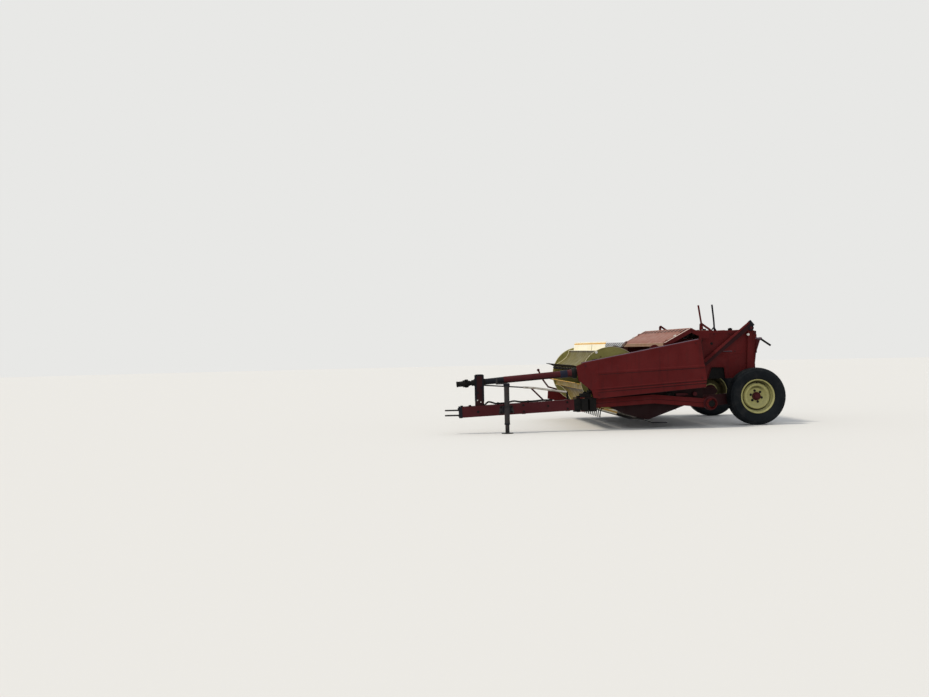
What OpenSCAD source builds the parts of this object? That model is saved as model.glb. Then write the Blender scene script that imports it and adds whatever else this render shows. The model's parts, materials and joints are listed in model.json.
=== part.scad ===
// Pull-type mower conditioner: a side-pulled mower with a bat reel and two crushing rolls.
// X points right, Y forward, Z up. The origin is on the ground, below the middle of the whole machine.
// The modules draw from the point on the ground midway between the wheels, which placed() takes to its place.

/* [Header] */
// Clear width between the two side sheets
header_w = 2800; // [2500:20:3200]
// Thickness of the side sheets
side_t = 6; // [4:1:8]
// Thickness of the hood, roof, wall and floor sheets
sheet_t = 4; // [3:1:6]
// Forward place of the back wall, which closes the header behind the rolls
wall_y = 745; // [735:5:780]
// Height of the roof's underside
roof_z = 1200; // [1180:5:1240]
// Width between the windrow panels behind the header
windrow_w = 1860; // [1700:20:1900]

/* [Cutterbar] */
// Forward place of the cutterbar's back edge
bar_y = 1500; // [1480:5:1520]
// Height of the cutterbar's underside
bar_z = 112; // [100:2:120]
// Depth of the cutterbar from back to front
bar_depth = 62; // [50:2:66]
// Thickness of the cutterbar
bar_t = 12; // [8:1:14]
// Distance from guard to guard
guard_pitch = 76.2; // [70:0.1:90]
// Length of a guard in front of the bar
guard_len = 112; // [90:2:120]
// Thickness of the knife's sections
knife_t = 4; // [3:0.5:5]
// Running clearance below the knife
knife_gap = 0.5; // [0.3:0.1:0.8]

/* [Reel] */
// Forward place of the reel's shaft
reel_y = 1874; // [1860:2:1890]
// Height of the reel's shaft
reel_z = 638; // [630:2:650]
// Radius of the reel's end discs
disc_r = 390; // [370:2:400]
// Radius to the outer lip of a bat
bat_r = 458; // [440:2:470]
// Length of a tine, from its bar's middle to its tip
tine_len = 130; // [110:2:134]
// Number of bats
bats = 4; // [3:1:5]
// Radius of the reel's shaft
reel_shaft_r = 32; // [25:1:38]
// Distance from tine to tine
tine_pitch = 152; // [120:2:200]
// Radius of a tine
tine_r = 4; // [3:0.5:6]

/* [Rolls] */
// Radius over the lugs of a conditioning roll
roll_r = 122; // [110:1:126]
// Depth of the lugs
lug_depth = 16; // [10:1:20]
// Lugs around a roll
lugs = 10; // [8:1:12]
// Width of a lug
lug_w = 28; // [22:1:32]
// Radius of a roll's shaft
roll_shaft_r = 28; // [22:1:32]
// Forward place of both rolls
roll_y = 1160; // [1140:5:1180]
// Height of the lower roll
roll_low_z = 400; // [390:2:410]
// Distance from roll centre to roll centre
roll_spread = 262; // [258:2:280]

/* [Wheels] */
// Distance from a windrow panel to its wheel's centre plane
wheel_off = 220; // [218:1:250]
// Radius of a tyre
tyre_r = 362; // [350:1:375]
// Width of a tyre
tyre_w = 236; // [210:2:244]
// Radius of the rim's edge
rim_r = 216; // [205:1:225]
// Wall of the rim and its disc
rim_t = 6; // [4:1:8]
// Radius of a wheel hub
hub_r = 52; // [46:1:58]
// Radius of a wheel spindle
spindle_r = 24; // [18:1:28]

/* [Axle] */
// Forward place of the axle pipe
pipe_y = 670; // [665:1:675]
// Height of the axle pipe
pipe_z = 300; // [296:1:306]
// Radius of the axle pipe
pipe_r = 62; // [54:1:62]
// Wall of the axle pipe
pipe_wall = 20; // [12:1:24]
// Width of a wheel arm
arm_w = 46; // [36:2:50]
// Running clearance around turning shafts and pins
run_gap = 0.6; // [0.4:0.1:1]

/* [Frame] */
// Width of a side beam
beam_w = 70; // [60:2:80]
// Height of a side beam
beam_h = 108; // [100:2:112]
// Wall of the box beams
box_wall = 8; // [6:1:10]
// Side of the square top beam
top_beam = 90; // [80:2:90]
// Forward place of the mast posts
mast_y = 0; // [-10:5:30]
// Height of the mast's top
mast_z = 1262; // [1240:2:1290]
// Thickness of the mast post and of its strut
mast_t = 30; // [24:2:36]

/* [Shield] */
// Distance from the left side sheet to the drive shield's outer face
shield_off = 214; // [206:2:230]
// Thickness of the drive shield
shield_t = 4; // [3:1:5]
// Depth of the shield's top and rear returns
shield_depth = 110; // [100:2:116]

/* [Tongue] */
// Distance from the left side sheet to the tongue's centre plane
tongue_off = 94; // [90:2:98]
// Forward place of the tongue's pivot
pivot_y = 2320; // [2310:5:2340]
// Height of the tongue's centre line at its pivot
pivot_z = 326; // [322:1:330]
// Radius of the tongue's pivot pin
pivot_r = 22; // [18:1:25]
// Forward place of the tongue beam's front end
tongue_front = 3775; // [3700:5:3850]
// Width of the tongue beam
tongue_w = 120; // [110:2:124]
// Height of the tongue beam
tongue_h = 132; // [120:2:134]
// Downward slope of the tongue, in degrees
tongue_slope = 2.4; // [2.2:0.1:2.6]
// Reach from the beam's front end to the hitch pin
clevis_len = 150; // [130:5:200]
// Radius of the hitch pin's hole
hitch_r = 14; // [12:1:16]
// Open height between the hitch plates
clevis_gap = 46; // [40:1:60]
// Thickness of a hitch plate
clevis_t = 16; // [12:1:20]

/* [Driveline] */
// Height of the driveline where it enters the shield
drive_z = 716; // [712:1:720]
// Forward place of the driveline's stand post
post_y = 3535; // [3500:5:3560]
// Height of the driveline at its post
post_z = 626; // [620:1:632]
// Radius of the driveline's guard tube
guard_tube_r = 41; // [34:1:44]
// Radius of the splined bore for the tractor's shaft
spline_r = 17.5; // [16:0.5:22]

/* [Jack] */
// Forward place of the parking jack
jack_y = 3215; // [3180:5:3240]
// Sideways distance from the tongue's centre to the jack
jack_off = 158; // [154:2:170]
// Radius of the jack's outer tube
jack_r = 32; // [28:1:36]
// Radius of the jack's foot
jack_foot_r = 72; // [60:2:76]

/* [Hidden] */

half_w = header_w / 2;
sheet_out = half_w + side_t;
beam_out = sheet_out + beam_w;
shield_x = sheet_out + shield_off;
tongue_x = sheet_out + tongue_off;
panel_x = windrow_w / 2;
wheel_x = panel_x + wheel_off;
roll_up_z = roll_low_z + roll_spread;
guard_top = bar_z + bar_t + 16;
touch = 0.3;

// The shield's top edge is one straight line, and the left side sheet keeps below it.
shield_rear = [836, 1099];
shield_front = [2279, 841];
shield_slope = atan2(shield_front[1] - shield_rear[1], shield_front[0] - shield_rear[0]);
hinge_x = shield_x - shield_depth;
function shield_top(y) = shield_rear[1] + (y - shield_rear[0]) * tan(shield_slope);
function rail_top(y) = shield_top(y) - shield_t / cos(shield_slope) - touch;

// The tongue and all on it are drawn along their own level line and then tilted about the pivot.
function tongue_z(y) = pivot_z - (y - pivot_y) * tan(tongue_slope);
drive_slope = atan2(drive_z - post_z, post_y - pivot_y);

RED = [0.42, 0.09, 0.10];
PALE_RED = [0.62, 0.36, 0.32];
CREAM = [0.80, 0.74, 0.45];
DARK = [0.10, 0.10, 0.11];
STEEL = [0.62, 0.63, 0.65];

// Carries a side view, drawn in Y and Z, across the machine from x0 over width w.
module across(x0, w) translate([x0, 0, 0]) rotate([90, 0, 90]) linear_extrude(w) children();
// A round bar along X.
module bar_x(x0, w, r) translate([x0, 0, 0]) rotate([0, 90, 0]) cylinder(r = r, h = w, $fn = 48);
module at(y, z) translate([0, y, z]) children();
module both_sides() {
    children();
    mirror([1, 0, 0]) children();
}
// A flat strip in a side view from p to q, with its thickness t to the right of that direction.
module strip(p, q, t) {
    d = q - p;
    translate(p) rotate(atan2(d[1], d[0])) translate([0, -t]) square([norm(d), t]);
}
// A bent sheet in side view: centred strips between points, joined by round bends.
module bent(points, t) {
    for (i = [0 : len(points) - 2]) {
        d = points[i + 1] - points[i];
        translate(points[i]) rotate(atan2(d[1], d[0])) translate([0, -t / 2]) square([norm(d), t]);
    }
    for (i = [1 : len(points) - 2]) translate(points[i]) circle(r = t * 0.6, $fn = 16);
}
// A round bar of radius r from p to q in space.
module rod(p, q, r, sides = 32) {
    d = q - p;
    translate(p) rotate([0, acos(d[2] / norm(d)), atan2(d[1], d[0])])
        cylinder(r = r, h = norm(d), $fn = sides);
}

// The hood's bends in side view, and the height of its sloped front.
hood_lip = [1225, 1052];
hood_top = [880, 1237];
hood_back = [800, roof_z + sheet_t / 2];
hood_slope = atan2(hood_lip[1] - hood_top[1], hood_lip[0] - hood_top[0]);
function hood_mid(y) = hood_top[1] + (y - hood_top[0]) * tan(hood_slope);

// Side views of the two side sheets, as [forward, up]. Their gables reach past the top beam up to the hood.
gable_front = wall_y + 32;
gable = [
    [wall_y, roof_z - top_beam], [wall_y - top_beam, roof_z - top_beam], [wall_y - top_beam, hood_back[1] - 2],
    hood_back - [2, 2], hood_top - [4, 3], hood_top + [4, -56], [gable_front, hood_top[1] - 100]
];
left_outline = concat([[wall_y, 362]], gable, [
    [gable_front, rail_top(gable_front)], [2205, rail_top(2205)], [2205, 560], [2090, 350], [1700, 180],
    [bar_y - 60, bar_z], [1150, 215]
]);
right_outline = concat([[wall_y, 362]], gable, [
    [gable_front, 1060], [1250, 1020], [1420, 985], [1640, 800], [2060, 480], [2150, 420], [2325, 405],
    [2335, 290], [2160, 240], [1700, 180], [bar_y - 60, bar_z], [1150, 215]
]);
module side_holes() {
    for (z = [roll_low_z, roll_up_z]) translate([roll_y, z]) circle(r = roll_shaft_r + run_gap, $fn = 48);
}
module side_sheet_left() color(RED) {
    across(-sheet_out, side_t) difference() {
        polygon(left_outline);
        side_holes();
        translate([reel_y, reel_z]) circle(r = reel_shaft_r + 8, $fn = 48);
    }
    // The rail under the drive shield's hinged edge.
    across(-hinge_x - 5, hinge_x + 5 - sheet_out)
        strip([wall_y + 95, rail_top(wall_y + 95)], [2205, rail_top(2205)], sheet_t);
}
module side_sheet_right() color(RED) across(half_w, side_t) difference() {
    polygon(right_outline);
    side_holes();
}

// A side beam runs low along each side, from the pipe's bearing to the front.
beam_bend = [1372, 369];
beam_front = 2200;
module beam_view(front_y, front_z, inset) difference() {
    union() {
        polygon([
            [pipe_y, pipe_z - beam_h / 2 + inset], [beam_bend[0], beam_bend[1] - beam_h / 2 + inset],
            [front_y - inset, front_z - beam_h / 2 + inset], [front_y - inset, front_z + beam_h / 2 - inset],
            [beam_bend[0], beam_bend[1] + beam_h / 2 - inset], [pipe_y, pipe_z + beam_h / 2 - inset]
        ]);
        if (inset == 0) translate([pipe_y, pipe_z]) circle(r = pipe_r + 20, $fn = 48);
    }
    translate([pipe_y, pipe_z]) circle(r = inset == 0 ? pipe_r + run_gap : pipe_r + 20, $fn = 48);
}
module side_beam(front_y, front_z) difference() {
    across(-beam_out, beam_w) beam_view(front_y, front_z, 0);
    across(-beam_out + box_wall, beam_w - 2 * box_wall) beam_view(front_y, front_z, box_wall);
}
plate_t = 12;
plate_gap = tongue_h + 18;
web_front = 28;
module pivot_plate(z) translate([-tongue_x, pivot_y, z]) difference() {
    union() {
        cylinder(r = 66, h = plate_t, $fn = 48);
        translate([-66, beam_front - 90 - pivot_y, 0]) cube([132, pivot_y - beam_front + 90, plate_t]);
    }
    translate([0, 0, -1]) cylinder(r = pivot_r, h = plate_t + 2, $fn = 48);
}
module side_beam_left() color(RED) {
    side_beam(beam_front, pivot_z);
    // The two plates that hold the tongue's pivot, and the web that joins them to the beam.
    for (z = [pivot_z - plate_gap / 2 - plate_t, pivot_z + plate_gap / 2]) pivot_plate(z);
    difference() {
        translate([-tongue_x - 66, beam_front - 90, pivot_z - plate_gap / 2])
            cube([132, 90 + web_front, plate_gap]);
        across(-beam_out, beam_w) beam_view(beam_front, pivot_z, 0);
    }
}
module side_beam_right() color(RED) mirror([1, 0, 0]) side_beam(1720, 300);
module pivot_pin() color(STEEL)
    translate([-tongue_x, pivot_y, pivot_z - plate_gap / 2 - plate_t - 6]) {
        cylinder(r = pivot_r - 0.05, h = plate_gap + 2 * plate_t + 12, $fn = 48);
        translate([0, 0, plate_gap + 2 * plate_t + 12]) cylinder(r = pivot_r + 8, h = 12, $fn = 6);
    }

// The latch that holds the tongue's swing: a greasy block on the upper pivot plate, with its release rod.
latch_top = 84;
module swing_latch() color(DARK) translate([-tongue_x, pivot_y, pivot_z + plate_gap / 2 + plate_t + touch]) {
    difference() {
        translate([-50, -150, 0]) cube([100, 130, 46]);
        cylinder(r = pivot_r + 14, h = 120, center = true, $fn = 48);
    }
    translate([-18, -128, 40]) cylinder(r = 24, h = latch_top - 40, $fn = 48);
    rod([-44, -60, 34], [-44, -190, latch_top + 6], 9);
    rod([-44, -190, latch_top + 6], [-44, -222, latch_top + 4], 12);
    translate([24, -86, 44]) sphere(r = 26, $fn = 32);
}

module top_beam() color(RED) difference() {
    translate([-half_w, wall_y - top_beam, roof_z - top_beam]) cube([header_w, top_beam, top_beam]);
    translate([-half_w - 1, wall_y - top_beam + box_wall, roof_z - top_beam + box_wall])
        cube([header_w + 2, top_beam - 2 * box_wall, top_beam - 2 * box_wall]);
}
module back_walls() color(RED) {
    both_sides() translate([-half_w, wall_y - sheet_t, 380])
        cube([half_w - panel_x, sheet_t, roof_z - top_beam - 380]);
    lift_bracket();
}

// The hood: a sloped front panel with a folded lip, a flat back part on the top beam, and side flanges.
flange_w = 45;
skirt_h = 56;
lip_h = 36;
vent_w = 56;
vent_h = 22;
vent_down = 46;
vents = 20;
module hood() color(PALE_RED) {
    difference() {
        across(-half_w, header_w) bent([
            [wall_y - top_beam, hood_back[1]], hood_back, hood_top, hood_lip, hood_lip - [0, lip_h]
        ], sheet_t);
        for (i = [0 : vents - 1]) translate([
            (i - (vents - 1) / 2) * header_w / (vents + 0.5), hood_top[0] + vent_down,
            hood_mid(hood_top[0] + vent_down)
        ])
            rotate([hood_slope, 0, 0]) cube([vent_w, vent_h, 20], center = true);
    }
    // The flanges that reach past the side sheets, and a leg on each side sheet at the front corners.
    both_sides() {
        across(-half_w - flange_w, flange_w + 1) bent([
            [hood_top[0] + 10, hood_mid(hood_top[0] + 10)], [hood_lip[0] - 10, hood_mid(hood_lip[0] - 10)]
        ], sheet_t - 0.4);
        // The flange's edge is folded down, as far as the shield's top leaves room.
        across(-half_w - flange_w, sheet_t) intersection() {
            polygon([
                [hood_top[0] + 10, hood_mid(hood_top[0] + 10)], [hood_lip[0] - 10, hood_mid(hood_lip[0] - 10)],
                [hood_lip[0] - 10, hood_mid(hood_lip[0] - 10) - skirt_h],
                [hood_top[0] + 10, hood_mid(hood_top[0] + 10) - skirt_h]
            ]);
            polygon([
                [hood_top[0], shield_top(hood_top[0]) + 4], [hood_lip[0], shield_top(hood_lip[0]) + 4],
                [hood_lip[0], hood_top[1]], [hood_top[0], hood_top[1]]
            ]);
        }
        across(-half_w, sheet_t) polygon([
            [hood_lip[0] - 80, shield_top(hood_lip[0]) - 105], [hood_lip[0] - 12, shield_top(hood_lip[0]) - 105],
            [hood_lip[0] - 12, hood_mid(hood_lip[0] - 12)], [hood_lip[0] - 80, hood_mid(hood_lip[0] - 80)]
        ]);
    }
}
module roof() color(PALE_RED)
    translate([-panel_x, -40, roof_z]) cube([windrow_w, wall_y - top_beam + 40, sheet_t]);

// The windrow panels stand between the wheels and carry the gate's hinge.
gate_y = -62;
gate_z = roof_z - 34;
gate_pin_r = 10;
module windrow_panels() color(RED) both_sides() across(-panel_x, sheet_t) difference() {
    polygon([
        [wall_y, 590], [wall_y, roof_z - top_beam], [wall_y - top_beam, roof_z - top_beam],
        [wall_y - top_beam, roof_z], [-40, roof_z], [gate_y - 22, roof_z - 12], [-84, 1090], [-66, 866],
        [-36, 640], [-20, 600], [335, 590], [350, 732], [508, 736], [560, 590]
    ]);
    translate([gate_y, gate_z]) circle(r = gate_pin_r + run_gap, $fn = 48);
}
// One mast stands on the left panel: a post and the strut that leans back on it.
module mast_post() color(RED) across(-panel_x - mast_t, mast_t) polygon([
    [mast_y - 52, 640], [mast_y + 52, 640], [mast_y + 27, mast_z], [mast_y - 27, mast_z]
]);
module mast_strut() color(RED) across(-panel_x - 2 * mast_t, mast_t) difference() {
    strip([mast_y + 10, mast_z + 58], [wall_y + 40, 698], 76);
    translate([wall_y - sheet_t, 400]) square([200, 500]);
}

module crop_floor() color(DARK) across(-half_w, header_w) bent([
    [bar_y - 420, 230], [bar_y - 165, 260], [bar_y - sheet_t / 2 - touch, bar_z + bar_t - 4]
], sheet_t);
guards = floor((header_w - 40) / guard_pitch);
module cutterbar() color(DARK) {
    translate([-half_w, bar_y, bar_z]) cube([header_w, bar_depth, bar_t]);
    for (i = [0 : guards - 1]) translate([(i - (guards - 1) / 2) * guard_pitch, bar_y + 8, bar_z + bar_t])
        linear_extrude(16) polygon([
            [-17, 0], [17, 0], [13, bar_depth], [4, bar_depth + guard_len], [-4, bar_depth + guard_len],
            [-13, bar_depth]
        ]);
}
knife_stroke = 38;
module knife() color(STEEL) {
    z = guard_top + knife_gap;
    back = bar_y + 14;
    edge = knife_stroke + 12;
    translate([-half_w + edge, back, z]) cube([header_w - 2 * edge, 24, knife_t]);
    for (i = [1 : guards - 2]) translate([(i - (guards - 1) / 2) * guard_pitch, back + 24, z])
        linear_extrude(knife_t)
            polygon([[-36, 0], [36, 0], [10, 66], [-10, 66]]);
}
shoe_t = 6;
module skid_shoes() color(DARK) both_sides() across(-half_w + 120, 110) bent([
    [bar_y + 44, bar_z - shoe_t / 2], [bar_y - 20, bar_z - shoe_t / 2], [bar_y - 150, bar_z - 48],
    [bar_y - 330, bar_z - 48]
], shoe_t);
module divider_rod() color(RED) {
    x = half_w + side_t + 12;
    rod([x, 2180, 420], [x, 2320, 459], 12);
    rod([x, 2320, 459], [x, 2405, 578], 12);
    rod([x, 2405, 578], [x, 2461, 707], 12);
    translate([x, 2320, 459]) sphere(r = 14, $fn = 32);
    translate([x, 2405, 578]) sphere(r = 14, $fn = 32);
    translate([x, 2461, 707]) sphere(r = 20, $fn = 32);
}

// The reel turns between two arms, which stand on the side sheets.
arm_pivot = [1335, 972];
arm_t = 12;
arm_gap = 8;
module reel_arms() color(RED) both_sides() {
    across(-half_w + arm_gap, arm_t) difference() {
        union() {
            strip(arm_pivot + [18, 40], [reel_y + 16, reel_z + 36], 72);
            translate(arm_pivot) circle(r = 68, $fn = 48);
            translate([reel_y, reel_z]) circle(r = 62, $fn = 48);
        }
        translate([reel_y, reel_z]) circle(r = reel_shaft_r + run_gap, $fn = 48);
    }
    at(arm_pivot[0], arm_pivot[1] - 30) bar_x(-half_w, arm_gap + 1, 30);
}
disc_x = half_w - 70;
module reel_shaft() color(DARK) at(reel_y, reel_z) {
    bar_x(-half_w + 6, 2 * half_w - 12, reel_shaft_r);
    bar_x(-half_w - 62, 68, reel_shaft_r);
}
module reel_discs() color(CREAM) both_sides() at(reel_y, reel_z) difference() {
    bar_x(-disc_x - sheet_t, sheet_t, disc_r);
    bar_x(-disc_x - sheet_t - 1, sheet_t + 2, reel_shaft_r + 0.1);
}
// One bat in side view about the reel's shaft, as [forward, up] points from its lip to its tine bar.
bat_view = [
    [51, bat_r - 3], [66, bat_r - 36], [76, 338], [137, 344], [150, 292], [182, 240], [372, 121]
];
module each_bat() at(reel_y, reel_z) for (i = [0 : bats - 1]) rotate([i * 360 / bats, 0, 0]) children();
module reel_bats() color(CREAM) each_bat() across(-disc_x + touch, 2 * disc_x - 2 * touch) bent(bat_view, 3);
tine_bar_r = 11;
tine_bar = [366, 105];
// A cam turns each bat's tines its own way: their angle above the line from the shaft through the bat's middle.
tine_turns = [28, 56, 45, 20];
tines = floor((2 * disc_x - 80) / tine_pitch);
module reel_tines() color(DARK) at(reel_y, reel_z) for (i = [0 : bats - 1]) rotate([i * 360 / bats, 0, 0]) {
    at(tine_bar[0], tine_bar[1]) bar_x(-disc_x + touch, 2 * disc_x - 2 * touch, tine_bar_r);
    turn = tine_turns[i % len(tine_turns)];
    tip = tine_bar + tine_len * [cos(turn), sin(turn)];
    for (k = [0 : tines]) {
        x = (k - tines / 2) * tine_pitch;
        for (dx = [-14, 14]) rod([x + dx, tine_bar[0], tine_bar[1]], [x + dx, tip[0], tip[1]], tine_r, 6);
    }
}
module reel_sheave() color(DARK) at(reel_y, reel_z) difference() {
    bar_x(-half_w - 58, 26, 150);
    bar_x(-half_w - 59, 28, reel_shaft_r + 0.1);
    difference() {
        bar_x(-half_w - 50, 10, 151);
        bar_x(-half_w - 51, 12, 138);
    }
}

module roll(z, turn) color(DARK) at(roll_y, z) {
    across(-half_w + 10, header_w - 20) {
        circle(r = roll_r - lug_depth, $fn = 64);
        for (i = [0 : lugs - 1]) rotate(i * 360 / lugs + turn)
            translate([0, -lug_w / 2]) square([roll_r, lug_w]);
    }
    bar_x(-sheet_out + 1, 2 * sheet_out - 2, roll_shaft_r);
}
module lower_roll() roll(roll_low_z, 90 / lugs);
module upper_roll() roll(roll_up_z, 270 / lugs);

gearbox_size = [tongue_off + 71, 160, 150];
module gearbox() color(DARK) {
    translate([-sheet_out - gearbox_size[0], 2195 - gearbox_size[1], drive_z - gearbox_size[2] / 2])
        cube(gearbox_size);
    rod([-tongue_x, 2195, drive_z], [-tongue_x, pivot_y - 42, drive_z], 22);
}

// Two adjusting levers on the roof's left side, and the plain bracket on its right side.
lever_x = 880;
right_bracket_y = 112;
module lever_bracket(x, y) translate([x, y, 0]) difference() {
    across(-22, 44) polygon([
        [500, roof_z + sheet_t], [632, roof_z + sheet_t], [632, roof_z + 84], [616, roof_z + 102],
        [598, roof_z + 102]
    ]);
    across(-16, 32) translate([480, roof_z + sheet_t + 10]) square([160, 120]);
}
module control_levers() color(RED) {
    lever_bracket(-lever_x, 0);
    lever_bracket(lever_x, right_bracket_y);
    rod([-lever_x, 575, roof_z + sheet_t + 10], [-lever_x, 650, roof_z + 338], 9);
    rod([-lever_x + 40, 433, roof_z + sheet_t + 1], [-lever_x + 40, 470, roof_z + 340], 9);
}

// The axle pipe turns in the side beams. Its arms carry the wheels and lift the whole machine.
pipe_end = beam_out + 84;
module axle_pipe() color(RED) difference() {
    union() {
        at(pipe_y, pipe_z) bar_x(-pipe_end, 2 * pipe_end, pipe_r);
        lift_lug();
    }
    at(pipe_y, pipe_z) bar_x(-pipe_end - 1, 2 * pipe_end + 2, pipe_r - pipe_wall);
}
arm_x = wheel_x - tyre_w / 2 - 22 - arm_w;
module wheel_arms() color(RED) both_sides() {
    across(-arm_x - arm_w, arm_w) difference() {
        union() {
            polygon([
                [pipe_y, pipe_z - 82], [pipe_y, pipe_z + 82], [0, tyre_r + 52], [0, tyre_r - 52]
            ]);
            translate([pipe_y, pipe_z]) circle(r = pipe_r + 20, $fn = 48);
            translate([0, tyre_r]) circle(r = 52, $fn = 48);
        }
        translate([pipe_y, pipe_z]) circle(r = pipe_r, $fn = 48);
    }
    at(0, tyre_r) bar_x(-wheel_x - 40, wheel_x + 40 - arm_x - arm_w, spindle_r);
}
// Place of the lift lug's pin, and of the lift cylinder's middle plane on the right.
lug_y = 480;
lug_z = 400;
lift_x = half_w - 74;
lift_pin_r = 12;
eye_gap = 5;
eye_w = 32;
lug_t = 16;
module lift_lug() {
    across(lift_x + eye_w / 2 + 6, lug_t) difference() {
        polygon([
            [pipe_y - 20, pipe_z - 40], [pipe_y, pipe_z + pipe_r + 14], [lug_y - 18, lug_z + 26],
            [lug_y - 26, lug_z - 20]
        ]);
        translate([pipe_y, pipe_z]) circle(r = pipe_r - 1, $fn = 48);
    }
    at(lug_y, lug_z) bar_x(lift_x - eye_w / 2 - 4, eye_w + 12 + lug_t / 2, lift_pin_r);
}
// Side view of half a tyre, as [share of the section's height, share of its half width].
tyre_view = [[0.12, 0.82], [0.36, 0.98], [0.55, 1], [0.74, 0.96], [0.88, 0.86], [0.96, 0.74], [1, 0.60]];
tyre_seat = rim_r - 16;
rim_half = tyre_w * 0.35;
bead = rim_half - touch;
tyre_half = concat([[tyre_seat, bead], [rim_r + 1, bead]], [for (p = tyre_view)
    [tyre_seat + p[0] * (tyre_r - tyre_seat), p[1] * tyre_w / 2]]);
tyre_other = [for (i = [len(tyre_half) - 1 : -1 : 0]) [tyre_half[i][0], -tyre_half[i][1]]];
module tyre() rotate([0, 90, 0]) difference() {
    rotate_extrude($fn = 72) polygon(concat(tyre_half, tyre_other));
    for (x = [-44, 0, 44]) translate([0, 0, x - 6]) difference() {
        cylinder(r = tyre_r + 1, h = 12, $fn = 72);
        translate([0, 0, -1]) cylinder(r = tyre_r - 11, h = 14, $fn = 72);
    }
}
rim_seat = tyre_seat - touch;
// The dished disc in side view, as [radius, height] along its middle, from the hub out to the drum.
disc_view = [[hub_r + touch, 3], [112, 3], [136, 28], [160, 33], [rim_seat - 3, 24]];
module rim() rotate([0, 90, 0]) rotate_extrude($fn = 72) {
    bent(disc_view, rim_t);
    translate([rim_seat - rim_t, -rim_half - rim_t]) square([rim_t, 2 * rim_half + 2 * rim_t]);
    for (y = [-rim_half - rim_t, rim_half]) translate([rim_seat - 1, y])
        square([rim_r - rim_seat + 1, rim_t]);
}
module hub() rotate([0, 90, 0]) difference() {
    union() {
        translate([0, 0, -46]) cylinder(r = hub_r, h = 84, $fn = 48);
        translate([0, 0, 38]) cylinder(r = 34, h = 24, $fn = 48);
        translate([0, 0, -8 - touch]) cylinder(r = 84, h = 8, $fn = 48);
    }
    translate([0, 0, -60]) cylinder(r = spindle_r + run_gap, h = 108, $fn = 48);
}
module wheel_place(side) translate([side * wheel_x, 0, tyre_r]) mirror([side < 0 ? 1 : 0, 0, 0]) children();

// The lift cylinder hangs from the back wall on the right and pushes the axle's lug.
lift_top = [wall_y - 62, 935];
lift_dir = ([lug_y, lug_z] - lift_top) / norm([lug_y, lug_z] - lift_top);
lift_len = norm([lug_y, lug_z] - lift_top);
module along_lift(from, to, r) {
    a = lift_top + lift_dir * from;
    b = lift_top + lift_dir * to;
    rod([lift_x, a[0], a[1]], [lift_x, b[0], b[1]], r);
}
barrel_r = 30;
rod_r = 19.4;
eye_r = 32;
module lift_barrel() color(DARK) difference() {
    union() {
        along_lift(eye_r - 6, 380, barrel_r);
        at(lift_top[0], lift_top[1]) bar_x(lift_x - eye_w / 2, eye_w, eye_r);
    }
    along_lift(60, 381, rod_r + run_gap);
    at(lift_top[0], lift_top[1]) bar_x(lift_x - eye_w / 2 - 1, eye_w + 2, lift_pin_r + run_gap);
}
module lift_rod() color(STEEL) difference() {
    union() {
        along_lift(120, lift_len - eye_r + 6, rod_r);
        at(lug_y, lug_z) bar_x(lift_x - eye_w / 2, eye_w, eye_r);
    }
    at(lug_y, lug_z) bar_x(lift_x - eye_w / 2 - 1, eye_w + 2, lift_pin_r + eye_gap);
}
// The bracket on the back wall that the cylinder hangs from.
module lift_bracket() {
    across(lift_x + barrel_r + 6, lug_t) polygon([
        [wall_y - 2, lift_top[1] + 70], [wall_y - 2, lift_top[1] - 70], [lift_top[0] - 20, lift_top[1] - 22],
        [lift_top[0] - 20, lift_top[1] + 22]
    ]);
    at(lift_top[0], lift_top[1])
        bar_x(lift_x - eye_w / 2 - 4, eye_w / 2 + 10 + barrel_r + lug_t / 2, lift_pin_r);
}

// The drive shield: one pan whose face carries two pressed lines, open at its front and below.
module shield_face() polygon([
    [2354, 800], shield_front, shield_rear, [801, 1081], [764, 778], [742, 614], [753, 503],
    [2067, 396], [2148, 408], [2167, 491], [2327, 622]
]);
module drive_shield() color(RED) {
    across(-shield_x, shield_t) shield_face();
    across(-shield_x + shield_t, shield_depth - shield_t) {
        strip(shield_rear, shield_front, shield_t);
        strip([764, 778], [801, 1081], shield_t);
    }
}

gate_drop = 270;
module swath_gate() color(RED) at(gate_y, gate_z) {
    w = panel_x - sheet_t - 6;
    bar_x(-w, 2 * w, 16);
    across(-w, 2 * w) strip([-2, -8], [-10, -gate_drop], sheet_t);
    bar_x(-panel_x - 2, 2 * panel_x + 4, gate_pin_r);
    both_sides() across(-w, 4) polygon([[-5, -60], [-84, -62], [-14, -gate_drop]]);
    // The stop rod with its knob on the left end plate.
    rod([-w + 14, -70, -70], [-w + 14, -210, -166], 8);
    translate([-w + 16, -76, -72]) sphere(r = 15, $fn = 32);
}

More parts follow.
